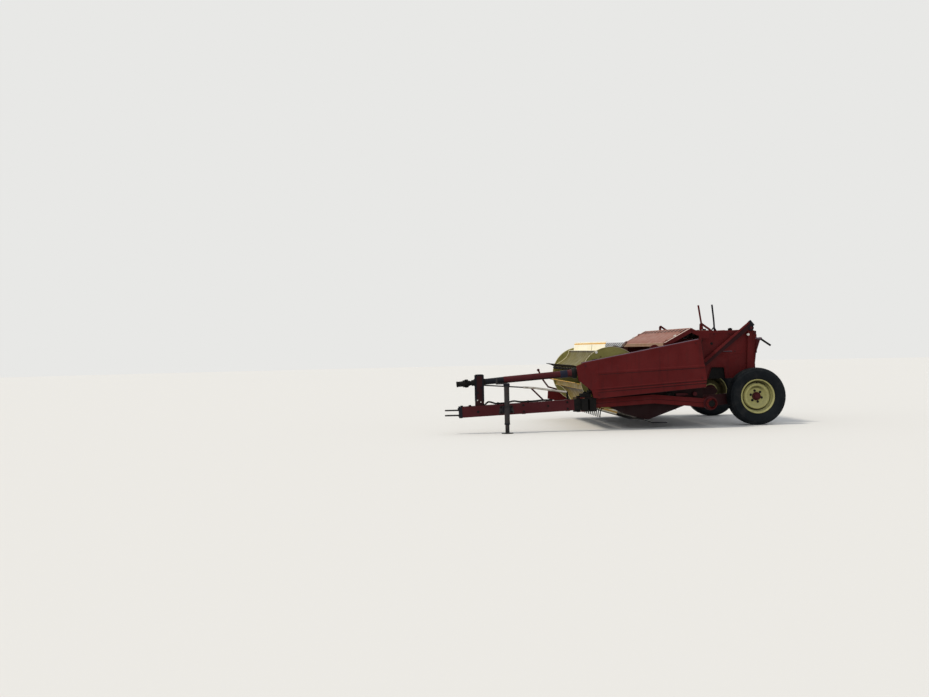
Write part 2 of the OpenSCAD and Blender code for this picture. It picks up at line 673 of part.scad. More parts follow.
module tilted() at(pivot_y, pivot_z) rotate([-tongue_slope, 0, 0]) at(-pivot_y, 0) children();
module tongue_beam() color(RED) difference() {
    tilted() difference() {
        translate([-tongue_x - tongue_w / 2, pivot_y - 62, -tongue_h / 2])
            cube([tongue_w, tongue_front - pivot_y + 62, tongue_h]);
        translate([-tongue_x - tongue_w / 2 + box_wall, pivot_y + 60, -tongue_h / 2 + box_wall])
            cube([tongue_w - 2 * box_wall, tongue_front - pivot_y - 80, tongue_h - 2 * box_wall]);
    }
    translate([-tongue_x, pivot_y, 0]) cylinder(r = pivot_r + run_gap, h = 900, $fn = 48);
}
hitch_y = tongue_front + clevis_len;
hitch_z = tongue_z(hitch_y);
hitch_end_r = 38;
module hitch_clevis() color(DARK) {
    for (side = [-1, 1]) translate([-tongue_x, 0, hitch_z + side * (clevis_gap + clevis_t) / 2]) difference() {
        union() {
            translate([0, hitch_y, 0]) cylinder(r = hitch_end_r, h = clevis_t, center = true, $fn = 48);
            translate([-hitch_end_r, tongue_front + 8, -clevis_t / 2])
                cube([2 * hitch_end_r, clevis_len - 8, clevis_t]);
        }
        translate([0, hitch_y, 0]) cylinder(r = hitch_r, h = clevis_t + 2, center = true, $fn = 48);
    }
    tilted() translate([-tongue_x - tongue_w / 2 + 4, tongue_front, -tongue_h / 2 + 4])
        cube([tongue_w - 8, 18, tongue_h - 8]);
}
module drive_post() color(RED) difference() {
    translate([-tongue_x - 30, post_y - 54, 0]) cube([60, 108, post_z + 84]);
    tilted() translate([-tongue_x - 100, 0, -500]) cube([200, 4000, 500 + tongue_h / 2]);
    translate([-tongue_x - 22, post_y - 46, 0]) cube([44, 92, post_z - 44 - 12]);
    along_drive() cylinder(r = drive_shaft_r + run_gap, h = 200, center = true, $fn = 48);
}
// The driveline lies along its own line over the tongue, from the shield to the tractor's end.
module along_drive() translate([-tongue_x, post_y, post_z]) rotate([-90 - drive_slope, 0, 0]) children();
drive_back = -(post_y - pivot_y) / cos(drive_slope);
drive_shaft_r = 26.4;
yoke_start = 112;
module driveline() color(RED) along_drive() {
    translate([0, 0, drive_back + 66]) cylinder(r = guard_tube_r, h = -drive_back - 66 - 60, $fn = 48);
    translate([0, 0, drive_back]) sphere(r = 30, $fn = 48);
    translate([0, 0, drive_back]) cylinder(r = 22, h = 80, $fn = 48);
    translate([0, 0, drive_back + 40]) cylinder(r1 = 68, r2 = guard_tube_r + 2, h = 60, $fn = 48);
    translate([0, 0, -70]) cylinder(r = drive_shaft_r, h = 70 + yoke_start - touch, $fn = 48);
}
// The joint in front of the post, and the collar that slides on the tractor's shaft.
module drive_yoke() color(DARK) along_drive() difference() {
    union() {
        translate([0, 0, yoke_start]) cylinder(r = drive_shaft_r + 4, h = 40, $fn = 48);
        translate([0, 0, 160]) sphere(r = 40, $fn = 48);
        translate([0, 0, 160]) cylinder(r = 30, h = 120, $fn = 48);
    }
    translate([0, 0, 210]) cylinder(r = spline_r, h = 71, $fn = 48);
}
// The bent stay beside the tongue, from its foot and leg up to the stand post.
module stay_rod() color(STEEL) {
    x = -tongue_x + 54;
    foot = tongue_z(2440) + tongue_h / 2 + 1.7;
    leg = tongue_z(2740) + tongue_h / 2 + 7;
    rod([x, 2440, foot], [x, 2452, 486], 12);
    rod([x, 2452, 486], [x, 2860, 540], 14);
    rod([x, 2860, 540], [-tongue_x + 30 + 8 + touch, post_y - 20, 590], 8);
    rod([x, 2900, 545], [x - 8, 2740, leg], 9);
    translate([x, 2452, 486]) sphere(r = 16, $fn = 32);
    translate([x, 2860, 540]) sphere(r = 17, $fn = 32);
}

jack_x = -tongue_x - jack_off;
jack_pin_z = tongue_z(jack_y);
module jack_leg() color(DARK) {
    difference() {
        translate([jack_x, jack_y, 110]) cylinder(r = jack_r, h = 470, $fn = 48);
        translate([jack_x, jack_y, 109]) cylinder(r = jack_r - 6, h = 460, $fn = 48);
    }
    // The swivel on the tongue's side, and the crank on top.
    at(jack_y, jack_pin_z) bar_x(jack_x + jack_r - 4, jack_off - jack_r - tongue_w / 2 + 4 - touch, 30);
    rod([jack_x, jack_y, 580], [jack_x, jack_y, 612], 12);
    rod([jack_x - 8, jack_y, 606], [jack_x - 8, jack_y + 120, 606], 8);
    rod([jack_x - 8, jack_y + 120, 598], [jack_x - 8, jack_y + 120, 676], 11);
}
module jack_foot() color(DARK) translate([jack_x, jack_y, 0]) {
    cylinder(r = jack_foot_r, h = 8, $fn = 48);
    cylinder(r = jack_r - 6 - run_gap, h = 420, $fn = 48);
}

// The machine reaches from the jack's foot to the axle pipe's end, and from the tyres to the hitch.
middle_x = (pipe_end + jack_x - jack_foot_r) / 2;
middle_y = (hitch_y + hitch_end_r - tyre_r) / 2;
module placed() translate([-middle_x, -middle_y, 0]) children();

placed() side_sheet_left();
placed() side_sheet_right();
placed() side_beam_left();
placed() side_beam_right();
placed() top_beam();
placed() back_walls();
placed() hood();
placed() roof();
placed() windrow_panels();
placed() mast_post();
placed() mast_strut();
placed() crop_floor();
placed() cutterbar();
placed() knife();
placed() skid_shoes();
placed() divider_rod();
placed() reel_arms();
placed() reel_shaft();
placed() reel_discs();
placed() reel_bats();
placed() reel_tines();
placed() upper_roll();
placed() lower_roll();
placed() gearbox();
placed() reel_sheave();
placed() control_levers();
placed() axle_pipe();
placed() wheel_arms();
placed() color(DARK) wheel_place(-1) tyre();  // tyre_left
placed() color(DARK) wheel_place(1) tyre();  // tyre_right
placed() color(CREAM) wheel_place(-1) rim();  // rim_left
placed() color(CREAM) wheel_place(1) rim();  // rim_right
placed() color(RED) wheel_place(-1) hub();  // hub_left
placed() color(RED) wheel_place(1) hub();  // hub_right
placed() lift_barrel();
placed() lift_rod();
placed() drive_shield();
placed() swath_gate();
placed() pivot_pin();
placed() swing_latch();
placed() tongue_beam();
placed() hitch_clevis();
placed() drive_post();
placed() driveline();
placed() drive_yoke();
placed() stay_rod();
placed() jack_leg();
placed() jack_foot();
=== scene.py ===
"""Looks of the pull-type mower conditioner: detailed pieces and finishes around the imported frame."""
import json
import math

import bmesh
import bpy
from mathutils import Matrix, Vector


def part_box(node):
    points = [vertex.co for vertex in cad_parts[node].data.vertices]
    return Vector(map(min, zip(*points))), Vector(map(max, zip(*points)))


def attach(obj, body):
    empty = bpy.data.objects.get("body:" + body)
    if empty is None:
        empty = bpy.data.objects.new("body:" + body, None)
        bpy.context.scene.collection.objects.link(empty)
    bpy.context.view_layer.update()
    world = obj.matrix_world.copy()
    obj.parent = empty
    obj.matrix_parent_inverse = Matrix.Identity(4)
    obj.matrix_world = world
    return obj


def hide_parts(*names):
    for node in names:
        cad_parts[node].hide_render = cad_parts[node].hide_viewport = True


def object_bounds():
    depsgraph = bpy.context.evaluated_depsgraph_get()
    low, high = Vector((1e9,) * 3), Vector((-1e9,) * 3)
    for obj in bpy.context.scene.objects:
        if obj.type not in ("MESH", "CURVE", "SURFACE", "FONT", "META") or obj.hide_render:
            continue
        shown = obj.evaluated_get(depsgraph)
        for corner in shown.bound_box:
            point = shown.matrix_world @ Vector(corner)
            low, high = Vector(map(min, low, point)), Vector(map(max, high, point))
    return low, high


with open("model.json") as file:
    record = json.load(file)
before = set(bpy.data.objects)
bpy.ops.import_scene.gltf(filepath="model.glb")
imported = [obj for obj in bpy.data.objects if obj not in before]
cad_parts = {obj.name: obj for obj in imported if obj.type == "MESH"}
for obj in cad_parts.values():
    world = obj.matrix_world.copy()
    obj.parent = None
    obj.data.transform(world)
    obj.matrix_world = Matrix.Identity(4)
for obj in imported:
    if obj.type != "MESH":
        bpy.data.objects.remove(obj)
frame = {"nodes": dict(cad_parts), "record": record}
cad_low, cad_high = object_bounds()

MM = 0.001
TAU = 2 * math.pi
X, Y, Z = (1, 0, 0), (0, 1, 0), (0, 0, 1)

# Shapes are drawn in millimetres from this point, which is on the ground midway between the wheels. Piece.done
# scales them and moves them to the frame.
GROUND = (sum(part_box("tyre_left"), Vector()) + sum(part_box("tyre_right"), Vector())) / 4
GROUND.z = cad_low.z


def box(node):
    """The low and the high corner of a CAD node."""
    return [(corner - GROUND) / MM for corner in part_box(node)]


def centre(node):
    low, high = box(node)
    return (low + high) / 2


def anchor(joint):
    """The place of a joint at rest."""
    row = next(j for j in frame["record"]["behaviour"]["joints"] if j["name"] == joint)
    return (Vector(row["pos_m"]) - GROUND) / MM


# Places that the frame gives
WHEEL = {side: centre("tyre_" + side) for side in ("left", "right")}
TYRE_R = (box("tyre_left")[1].z - box("tyre_left")[0].z) / 2
REEL = anchor("reel_spin")
DISC_X = box("reel_discs")[1].x
ROLL_LOW, ROLL_UP = anchor("roll_low_spin"), anchor("roll_up_spin")
ROLL_R = (box("lower_roll")[1].z - box("lower_roll")[0].z) / 2
HALF_W = box("side_sheet_right")[0].x
SHEET_OUT = box("side_sheet_right")[1].x
PANEL_X = box("roof")[1].x
ROOF_Z = box("roof")[1].z
PIPE = anchor("header_lift")
GATE = anchor("gate_tilt")
SHIELD_X = box("drive_shield")[0].x
SHIELD_IN = box("drive_shield")[1].x
PIVOT = anchor("tongue_swing")
TONGUE_X = PIVOT.x
TONGUE_SLOPE = math.radians(2.4)
TONGUE_HALF = (box("tongue_beam")[1].x - box("tongue_beam")[0].x) / 2
JACK = centre("jack_foot") * Vector((1, 1, 0))
DRIVE_BACK = Vector((TONGUE_X, PIVOT.y, centre("gearbox").z))
DRIVE_POST = Vector((TONGUE_X, centre("drive_post").y, box("drive_post")[1].z - 84))
DRIVE_AHEAD = (DRIVE_POST - DRIVE_BACK).normalized()


# Camera, stage and light


def make_camera():
    """The photograph's viewpoint: level, far off on the left, and slightly rolled."""
    photo_width, focal_px, sensor = 929, 1295, 36.0
    position = Vector((-17.295, 4.672, 1.043))
    right = Vector((-0.06103, -0.99790, -0.02147))
    down = Vector((0.00131, 0.02143, -0.99977))
    ahead = Vector((0.99813, -0.06105, 0.0))
    data = bpy.data.cameras.new("camera")
    data.sensor_width = sensor
    data.lens = focal_px / photo_width * sensor
    data.clip_end = 200
    camera = bpy.data.objects.new("camera", data)
    turn = Matrix((right, -down, -ahead)).transposed().to_4x4()
    camera.matrix_world = Matrix.Translation(position + GROUND) @ turn
    bpy.context.scene.collection.objects.link(camera)
    bpy.context.scene.camera = camera


def srgb(red, green, blue):
    """A colour given as 0 to 255 screen values, as linear values."""
    def linear(v):
        v /= 255
        return v / 12.92 if v <= 0.04045 else ((v + 0.055) / 1.055) ** 2.4
    return linear(red), linear(green), linear(blue), 1.0


def make_stage():
    bpy.ops.mesh.primitive_circle_add(vertices=96, radius=60, fill_type="NGON")
    floor = bpy.context.object
    floor.name = "floor"
    floor.location.z = GROUND.z
    Nodes("floor").shade({"Base Color": srgb(226, 224, 218), "Roughness": 0.95, "Specular IOR Level": 0.1})
    floor.data.materials.append(MATERIALS["floor"])


def make_light():
    world = bpy.data.worlds.new("world")
    bpy.context.scene.world = world
    world.use_nodes = True
    nodes, links = world.node_tree.nodes, world.node_tree.links
    nodes.clear()
    out = nodes.new("ShaderNodeOutputWorld")
    mix = nodes.new("ShaderNodeMixShader")
    sky, seen = nodes.new("ShaderNodeBackground"), nodes.new("ShaderNodeBackground")
    sky.inputs["Color"].default_value = srgb(236, 241, 250)
    sky.inputs["Strength"].default_value = 0.72
    seen.inputs["Color"].default_value = srgb(232, 232, 230)
    seen.inputs["Strength"].default_value = 1.0
    # Cameras, metal and glass see the plain background.
    path = nodes.new("ShaderNodeLightPath")
    share = path.outputs["Is Camera Ray"]
    for ray in ("Is Glossy Ray", "Is Transmission Ray"):
        either = nodes.new("ShaderNodeMath")
        either.operation = "MAXIMUM"
        links.new(share, either.inputs[0])
        links.new(path.outputs[ray], either.inputs[1])
        share = either.outputs[0]
    links.new(share, mix.inputs["Fac"])
    links.new(sky.outputs[0], mix.inputs[1])
    links.new(seen.outputs[0], mix.inputs[2])
    links.new(mix.outputs[0], out.inputs["Surface"])
    for name, direction, strength, angle, colour in (
        ("key", (0.12, -0.80, -1.25), 1.75, 9, (255, 247, 234)),
        ("fill", (1.0, -0.15, -0.45), 0.30, 40, (240, 244, 255)),
    ):
        lamp = bpy.data.lights.new(name, "SUN")
        lamp.energy = strength
        lamp.angle = math.radians(angle)
        lamp.color = srgb(*colour)[:3]
        thing = bpy.data.objects.new(name, lamp)
        thing.rotation_euler = Vector(direction).to_track_quat("-Z", "Y").to_euler()
        bpy.context.scene.collection.objects.link(thing)


# Materials

MATERIALS = {}


class Nodes:
    """One new material, and short calls that build its node tree."""

    def __init__(self, name):
        material = bpy.data.materials.new(name)
        material.use_nodes = True
        MATERIALS[name] = material
        self.tree = material.node_tree
        self.shader = self.tree.nodes["Principled BSDF"]
        self.place = self.tree.nodes.new("ShaderNodeTexCoord").outputs["Object"]

    def put(self, value, socket):
        """Gives an input a number or colour, or links it to the output of another node."""
        if isinstance(value, (int, float, tuple)):
            socket.default_value = value
        else:
            self.tree.links.new(value, socket)

    def shade(self, inputs):
        """Sets the shader's inputs, given by name."""
        for key, value in inputs.items():
            self.put(value, self.shader.inputs[key])

    def node(self, kind, inputs, **settings):
        """A new node, with its inputs by name or place, and its settings."""
        node = self.tree.nodes.new("ShaderNode" + kind)
        for key, value in settings.items():
            setattr(node, key, value)
        for key, value in inputs.items():
            self.put(value, node.inputs[key])
        return node.outputs

    def noise(self, scale, detail, stretch=None, rough=0.55):
        place = self.node("Mapping", {"Vector": self.place, "Scale": stretch})["Vector"] if stretch else self.place
        inputs = {"Vector": place, "Scale": scale, "Detail": detail, "Roughness": rough}
        return self.node("TexNoise", inputs)["Fac"]

    def ramp(self, value, low, high, to_low=0.0, to_high=1.0):
        inputs = {"Value": value, "From Min": low, "From Max": high, "To Min": to_low, "To Max": to_high}
        return self.node("MapRange", inputs, interpolation_type="SMOOTHSTEP")["Result"]

    def math(self, kind, a, b):
        return self.node("Math", {0: a, 1: b}, operation=kind)[0]

    def mix(self, share, a, b):
        return self.node("Mix", {0: share, 6: a, 7: b}, data_type="RGBA")[2]

    def up(self):
        """How far the surface faces up, from -1 to 1."""
        return self.node("SeparateXYZ", {0: self.node("NewGeometry", {})["Normal"]})["Z"]

    def height(self):
        return self.node("SeparateXYZ", {0: self.place})["Z"]

    def edges(self, radius):
        """1 along outer edges, 0 on flat faces."""
        soft = self.node("Bevel", {"Radius": radius}, samples=4)["Normal"]
        flat = self.node("NewGeometry", {})["Normal"]
        return self.ramp(self.node("VectorMath", {0: soft, 1: flat}, operation="DOT_PRODUCT")["Value"], 0.97, 0.75)

    def bump(self, height, strength, distance):
        inputs = {"Height": height, "Strength": strength, "Distance": distance}
        self.shade({"Normal": self.node("Bump", inputs)["Normal"]})


def painted(name, base, faded, grime, under=(86, 48, 34), top_fade_and_light=0.5, rust=0.68, low_shade=None):
    """Old farm paint: faded in patches, paler on top from fading and painted top light, streaked with grime, painted
    shade beneath, worn through on its edges.
    """
    n = Nodes(name)
    base, faded, grime, under, painted_shade = (srgb(*c) for c in (base, faded, grime, under, (12, 8, 9)))
    fine = n.noise(60, 8, rough=0.7)
    colour = n.mix(n.math("MULTIPLY", n.ramp(n.noise(2.6, 6), 0.42, 0.62), 0.45), base, faded)
    # Tops turn paler: partly sun fading of the paint, partly painted top light.
    colour = n.mix(n.ramp(n.up(), 0.25, 0.9, 0.0, top_fade_and_light), colour, faded)
    streak = n.ramp(n.noise(1.0, 4, stretch=(22, 22, 2.4)), 0.52, 0.74, 0.0, 0.3)
    colour = n.mix(streak, colour, grime)
    colour = n.mix(n.ramp(fine, 0.3, 0.75, 0.0, 0.28), colour, grime)
    spots = n.math("MULTIPLY", n.ramp(n.noise(17, 9, rough=0.65), rust, rust + 0.06), 0.85)
    worn = n.math("MULTIPLY", n.edges(5 * MM), n.ramp(n.noise(26, 5), 0.47, 0.72))
    colour = n.mix(n.math("MAXIMUM", spots, worn), colour, under)
    # Painted shade: faces that look down are darkened.
    colour = n.mix(n.ramp(n.up(), -0.3, -0.85, 0.0, 0.85), colour, painted_shade)
    # Painted shade: darker towards the bottom, between the two heights given.
    if low_shade:
        colour = n.mix(n.ramp(n.height(), low_shade[1], low_shade[0], 0.0, 0.9), colour, painted_shade)
    rough = n.ramp(n.noise(9, 6), 0.3, 0.7, 0.42, 0.7)
    n.shade({"Base Color": colour, "Roughness": rough, "Specular IOR Level": 0.1})
    n.bump(n.math("ADD", n.math("MULTIPLY", fine, 0.35), n.noise(7, 4)), 0.16, 2.5 * MM)


def metal(name, base, grime, rusty, shine=(0.3, 0.55), metallic=0.85, gloss=0.5):
    """Bare or oily metal with grime in patches and a little rust."""
    n = Nodes(name)
    base, grime, rusty = (srgb(*c) for c in (base, grime, rusty))
    fine = n.noise(90, 8, rough=0.7)
    colour = n.mix(n.ramp(n.noise(11, 7), 0.45, 0.7), base, grime)
    colour = n.mix(n.ramp(n.noise(28, 9, rough=0.7), 0.56, 0.68, 0.0, 0.8), colour, rusty)
    rough = n.ramp(fine, 0.3, 0.7, *shine)
    n.shade({"Base Color": colour, "Roughness": rough, "Metallic": metallic, "Specular IOR Level": gloss})
    n.bump(fine, 0.2, 1.5 * MM)


def rubber(name, base, dust, rough, dusty=(0.5, 0.72)):
    """Rubber, dusty in patches."""
    n = Nodes(name)
    base, dust = srgb(*base), srgb(*dust)
    fine = n.noise(120, 6, rough=0.7)
    colour = n.mix(n.ramp(n.noise(8, 7), *dusty, 0.0, 0.6), base, dust)
    colour = n.mix(n.ramp(fine, 0.45, 0.8, 0.0, 0.3), colour, dust)
    rough = n.ramp(n.noise(14, 5), 0.3, 0.7, rough - 0.18, rough)
    n.shade({"Base Color": colour, "Roughness": rough, "Specular IOR Level": 0.12})
    n.bump(fine, 0.25, 1.2 * MM)


def make_materials():
    """All finishes, with their colours as seen in the photograph."""
    red = (84, 19, 19), (98, 28, 27), (50, 17, 17)
    painted("red", *red)
    # A darker copy of the red, partly darker paint and partly painted shade.
    painted("red_dark", (66, 21, 25), (80, 30, 33), (34, 14, 16))
    # A darker red: grime, and painted shade on the parts that sit in shade.
    painted("red_grime_and_shade", (44, 17, 19), (62, 26, 27), (22, 13, 14))
    # Red that darkens towards its bottom as painted shade below the side beam.
    painted("red_low_shade", *red, low_shade=(0.74, 1.0))
    painted("red_faded", (134, 84, 70), (148, 102, 87), (102, 60, 50), top_fade_and_light=0.85)
    painted("flange_pale", (206, 178, 166), (222, 200, 186), (150, 112, 100), top_fade_and_light=0.85)
    # A pale sand colour that paints the highlight on the hood's front hem.
    painted("lip_sand", (172, 136, 108), (188, 154, 126), (122, 82, 66), top_fade_and_light=0.85)
    # A pale mauve for strips and tubes that paint highlights on lit edges and tops.
    painted("pale_highlight", (104, 84, 94), (124, 106, 114), (66, 48, 56))
    # A near-white copy of the reel's cream: painted highlight on the lit bat walls.
    painted("white_cream", (250, 244, 220), (254, 252, 240), (214, 198, 150), top_fade_and_light=0.9, rust=0.78)
    painted("cream", (232, 220, 172), (244, 238, 208), (164, 150, 96), top_fade_and_light=0.9, rust=0.72)
    # Olive for the reel discs, partly their paint and partly painted shade; also the wall seams and the disc bolts.
    painted("olive", (140, 134, 74), (156, 150, 88), (92, 80, 44), (92, 60, 36), rust=0.62, top_fade_and_light=0.4)
    # A darker olive copy of the reel's paint: painted shade in the bats' scoops and on their ribs.
    painted("olive_dark", (100, 92, 48), (118, 110, 62), (58, 50, 26), (74, 54, 30), rust=0.62, top_fade_and_light=0.3)
    # Darker still: painted shadow under each bat's shelf.
    painted("olive_shadow", (66, 56, 24), (78, 68, 32), (38, 31, 14))
    painted("ochre", (150, 126, 54), (168, 146, 74), (90, 70, 30), (80, 54, 30), rust=0.66, top_fade_and_light=0.4)
    painted("yellow", (216, 160, 56), (232, 192, 98), (140, 98, 40), rust=0.74)
    painted("rim_cream", (168, 163, 106), (190, 186, 134), (104, 98, 62), (104, 78, 50), rust=0.66)
    # Painted shade for the rims' recesses and inner sides.
    painted("rim_shadow", (84, 78, 50), (98, 92, 60), (50, 46, 30))
    painted("black_paint", (20, 21, 27), (34, 35, 42), (13, 13, 15), (54, 40, 34), rust=0.7)
    metal("dark_steel", (50, 48, 48), (30, 28, 28), (72, 48, 36), metallic=0.3, shine=(0.5, 0.75), gloss=0.2)
    metal("bright_steel", (190, 184, 174), (136, 130, 122), (120, 84, 60))
    # Black grease, also used as a dark fill that paints the shade inside holes and bores.
    metal("greasy", (15, 14, 13), (8, 8, 8), (38, 27, 21), metallic=0.0, shine=(0.5, 0.8), gloss=0.12)
    metal("cast", (36, 32, 32), (22, 20, 20), (66, 44, 34), metallic=0.1, shine=(0.6, 0.85), gloss=0.15)
    metal("zinc", (216, 214, 206), (176, 170, 158), (140, 110, 80), metallic=0.4)
    # The slight blue in the tyre's black is a painted sky reflection.
    rubber("tyre_rubber", (12, 17, 21), (40, 40, 40), rough=0.78)
    rubber("black_rubber_and_shade", (12, 12, 13), (32, 30, 28), rough=0.7)
    rubber("blue_rubber", (28, 30, 44), (50, 52, 66), rough=0.7)
    rubber("roll_rubber", (30, 30, 31), (96, 90, 74), rough=0.85, dusty=(0.42, 0.66))


# Pieces


def facing(axis):
    """A turn that takes +Z to the axis."""
    return Vector(Z).rotation_difference(Vector(axis).normalized()).to_matrix().to_4x4()


def rounded(points, radius, steps=5):
    """A path through the points, with its inner corners turned into arcs."""
    path = [Vector(points[0])]
    for before, corner, after in zip(points, points[1:], points[2:]):
        corner = Vector(corner)
        back, on = Vector(before) - corner, Vector(after) - corner
        reach = min(radius, back.length * 0.45, on.length * 0.45)
        start, end = corner + back.normalized() * reach, corner + on.normalized() * reach
        for i in range(steps + 1):
            t = i / steps
            path.append(start * (1 - t) ** 2 + corner * 2 * t * (1 - t) + end * t * t)
    path.append(Vector(points[-1]))
    return path


class Piece:
    """Gathers the shapes of one piece, in millimetres from GROUND."""

    def __init__(self):
        self.bm = bmesh.new()
        self.materials = []

    def use(self, material):
        """The shapes that follow get this material."""
        if material not in self.materials:
            self.materials.append(material)
        self.index = self.materials.index(material)
        return self

    def face(self, corners):
        made = self.bm.faces.new(corners)
        made.material_index = self.index

    def rings(self, rings):
        """Skins a row of rings of points, and closes its ends."""
        rows = [[self.bm.verts.new(p) for p in ring] for ring in rings]
        count = len(rows[0])
        for a, b in zip(rows, rows[1:]):
            for i in range(count):
                j = (i + 1) % count
                self.face((a[i], a[j], b[j], b[i]))
        self.face(list(reversed(rows[0])))
        self.face(rows[-1])
        return self

    def prism(self, outline, x0, x1):
        """A side view in (y, z), carried across from x0 to x1."""
        return self.rings([[(x, y, z) for y, z in outline] for x in (x0, x1)])

    def block(self, low, high):
        """A box between two opposite corners."""
        (ax, ay, az), (bx, by, bz) = low, high
        return self.prism([(ay, az), (by, az), (by, bz), (ay, bz)], ax, bx)

    def lathe(self, profile, at, axis, steps):
        """Turns a closed outline of (along, radius) points about the axis."""
        turn = Matrix.Translation(Vector(at)) @ facing(axis)
        rows = []
        for i in range(steps):
            a = TAU * i / steps
            rows.append([self.bm.verts.new(turn @ Vector((r * math.cos(a), r * math.sin(a), s))) for s, r in profile])
        for a, b in zip(rows, rows[1:] + rows[:1]):
            for i in range(len(profile)):
                j = (i + 1) % len(profile)
                self.face((a[i], b[i], b[j], a[j]))
        return self

    def rod(self, start, end, radius, sides):
        return self.tube([start, end], radius, sides)

    def across(self, reach, y, z, radius, sides, x=0):
        """A round bar across the machine, as far as reach to both sides of x."""
        return self.rod((x - reach, y, z), (x + reach, y, z), radius, sides)

    def tube(self, path, radius, sides):
        """A round bar along the points of a path."""
        path = [Vector(p) for p in path]
        up = Vector(Z) if abs((path[1] - path[0]).normalized().z) < 0.9 else Vector(X)
        side = (path[1] - path[0]).cross(up).normalized()
        rings = []
        for i, p in enumerate(path):
            ahead = (path[min(i + 1, len(path) - 1)] - path[max(i - 1, 0)]).normalized()
            side = (side - ahead * side.dot(ahead)).normalized()
            other = ahead.cross(side)
            rings.append([
                p + (side * math.cos(TAU * k / sides) + other * math.sin(TAU * k / sides)) * radius
                for k in range(sides)
            ])
        return self.rings(rings)

    def disc(self, at, axis, radius, height, sides):
        """A short round block that stands on its place along the axis."""
        at, axis = Vector(at), Vector(axis).normalized()
        return self.tube([at, at + axis * height], radius, sides)

    def bolt(self, at, axis, size):
        """A hexagon head on a washer. size is the head's radius."""
        at, axis = Vector(at), Vector(axis).normalized()
        self.disc(at, axis, size * 1.35, size * 0.25, 16)
        return self.disc(at + axis * size * 0.25, axis, size, size * 0.75, 6)

    def done(self, name, body, slot, sharp, bevel=0):
        """Makes the object, which rides on the body. Edges stay sharp from that many degrees on."""
        bm = self.bm
        bmesh.ops.transform(bm, verts=bm.verts, matrix=Matrix.Translation(GROUND) @ Matrix.Scale(MM, 4))
        bmesh.ops.remove_doubles(bm, verts=bm.verts, dist=1e-5)
        bmesh.ops.recalc_face_normals(bm, faces=bm.faces)
        limit = math.radians(sharp)
        for f in bm.faces:
            f.smooth = True
        for e in bm.edges:
            e.smooth = len(e.link_faces) == 2 and e.calc_face_angle(0) < limit
        mesh = bpy.data.meshes.new(name)
        bm.to_mesh(mesh)
        bm.free()
        for material in self.materials:
            mesh.materials.append(MATERIALS[material])
        piece = bpy.data.objects.new(name, mesh)
        bpy.context.scene.collection.objects.link(piece)
        if bevel:
            soften(piece, bevel)
        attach(piece, body)
        return piece


def soften(piece, width):
    """Rounds the edges of a piece or of a CAD node with a modifier."""
    modifier = piece.modifiers.new("edges", "BEVEL")
    modifier.width = width * MM
    modifier.segments = 2
    modifier.limit_method = "ANGLE"
    modifier.angle_limit = math.radians(40)
    modifier.harden_normals = True


def band(path, thickness):
    """A closed outline around a path of (a, b) points, half the thickness to each side."""
    left, right = [], []
    for i, p in enumerate(path):
        a, b = path[max(i - 1, 0)], path[min(i + 1, len(path) - 1)]
        du, dv = b[0] - a[0], b[1] - a[1]
        length = math.hypot(du, dv)
        off_u, off_v = -dv / length * thickness / 2, du / length * thickness / 2
        left.append((p[0] + off_u, p[1] + off_v))
        right.append((p[0] - off_u, p[1] - off_v))
    return left + right[::-1]


def turned(points, angle, at):
    """Side-view points (y, z) about a shaft, turned by the angle and moved to the shaft's place."""
    c, s = math.cos(angle), math.sin(angle)
    return [(at.y + y * c - z * s, at.z + y * s + z * c) for y, z in points]


def circle(x, y, z, radius, count, start=0.0):
    """Points spread evenly on a circle about (y, z) in side view. The first one is that share of a step round."""
    turns = [TAU * (k + start) / count for k in range(count)]
    return [Vector((x, y + radius * math.cos(a), z + radius * math.sin(a))) for a in turns]


# Wheels


def make_tyre(side):
    """A ribbed implement tyre: zigzag ribs, notched shoulders and rings on its walls."""
    steps, wave, swing, notch = 180, (0, 1, 1, 0, -1, -1), 2.6, 6
    # Half of its section, as (across, radius) from the bead to the middle of the tread
    half = [
        (82, 200), (83, 216), (89, 223), (93, 224), (95, 228), (101, 234), (108, 248), (113.5, 266), (117, 286),
        (118, 300), (116.5, 314), (117.5, 317), (114, 326), (109, 334), (107, 335), (104, 341), (102, 350),
        (92, 355.5), (76, 359.5), (51, 361.5), (49, 350), (39, 350), (37, TYRE_R), (7, TYRE_R), (5, 350), (0, 350)
    ]
    whole = half + [(-s, r) for s, r in reversed(half[:-1])]
    piece = Piece().use("tyre_rubber")
    rows = []
    for k in range(steps):
        a = TAU * k / steps
        row = []
        for s, r in whole:
            if r > 349 and 4 < abs(s) < 60:
                s += wave[k % len(wave)] * swing
            if 333 < r < 358 and abs(s) > 90 and k % 4 == 0:
                r -= notch
            row.append(piece.bm.verts.new(WHEEL[side] + Vector((s, r * math.cos(a), r * math.sin(a)))))
        rows.append(row)
    for a, b in zip(rows, rows[1:] + rows[:1]):
        for i in range(len(whole) - 1):
            piece.face((a[i], b[i], b[i + 1], a[i + 1]))
    tyre = piece.done("tyre_" + side + "_ribbed", "wheel_" + side, "tyre", sharp=28)
    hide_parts("tyre_" + side)


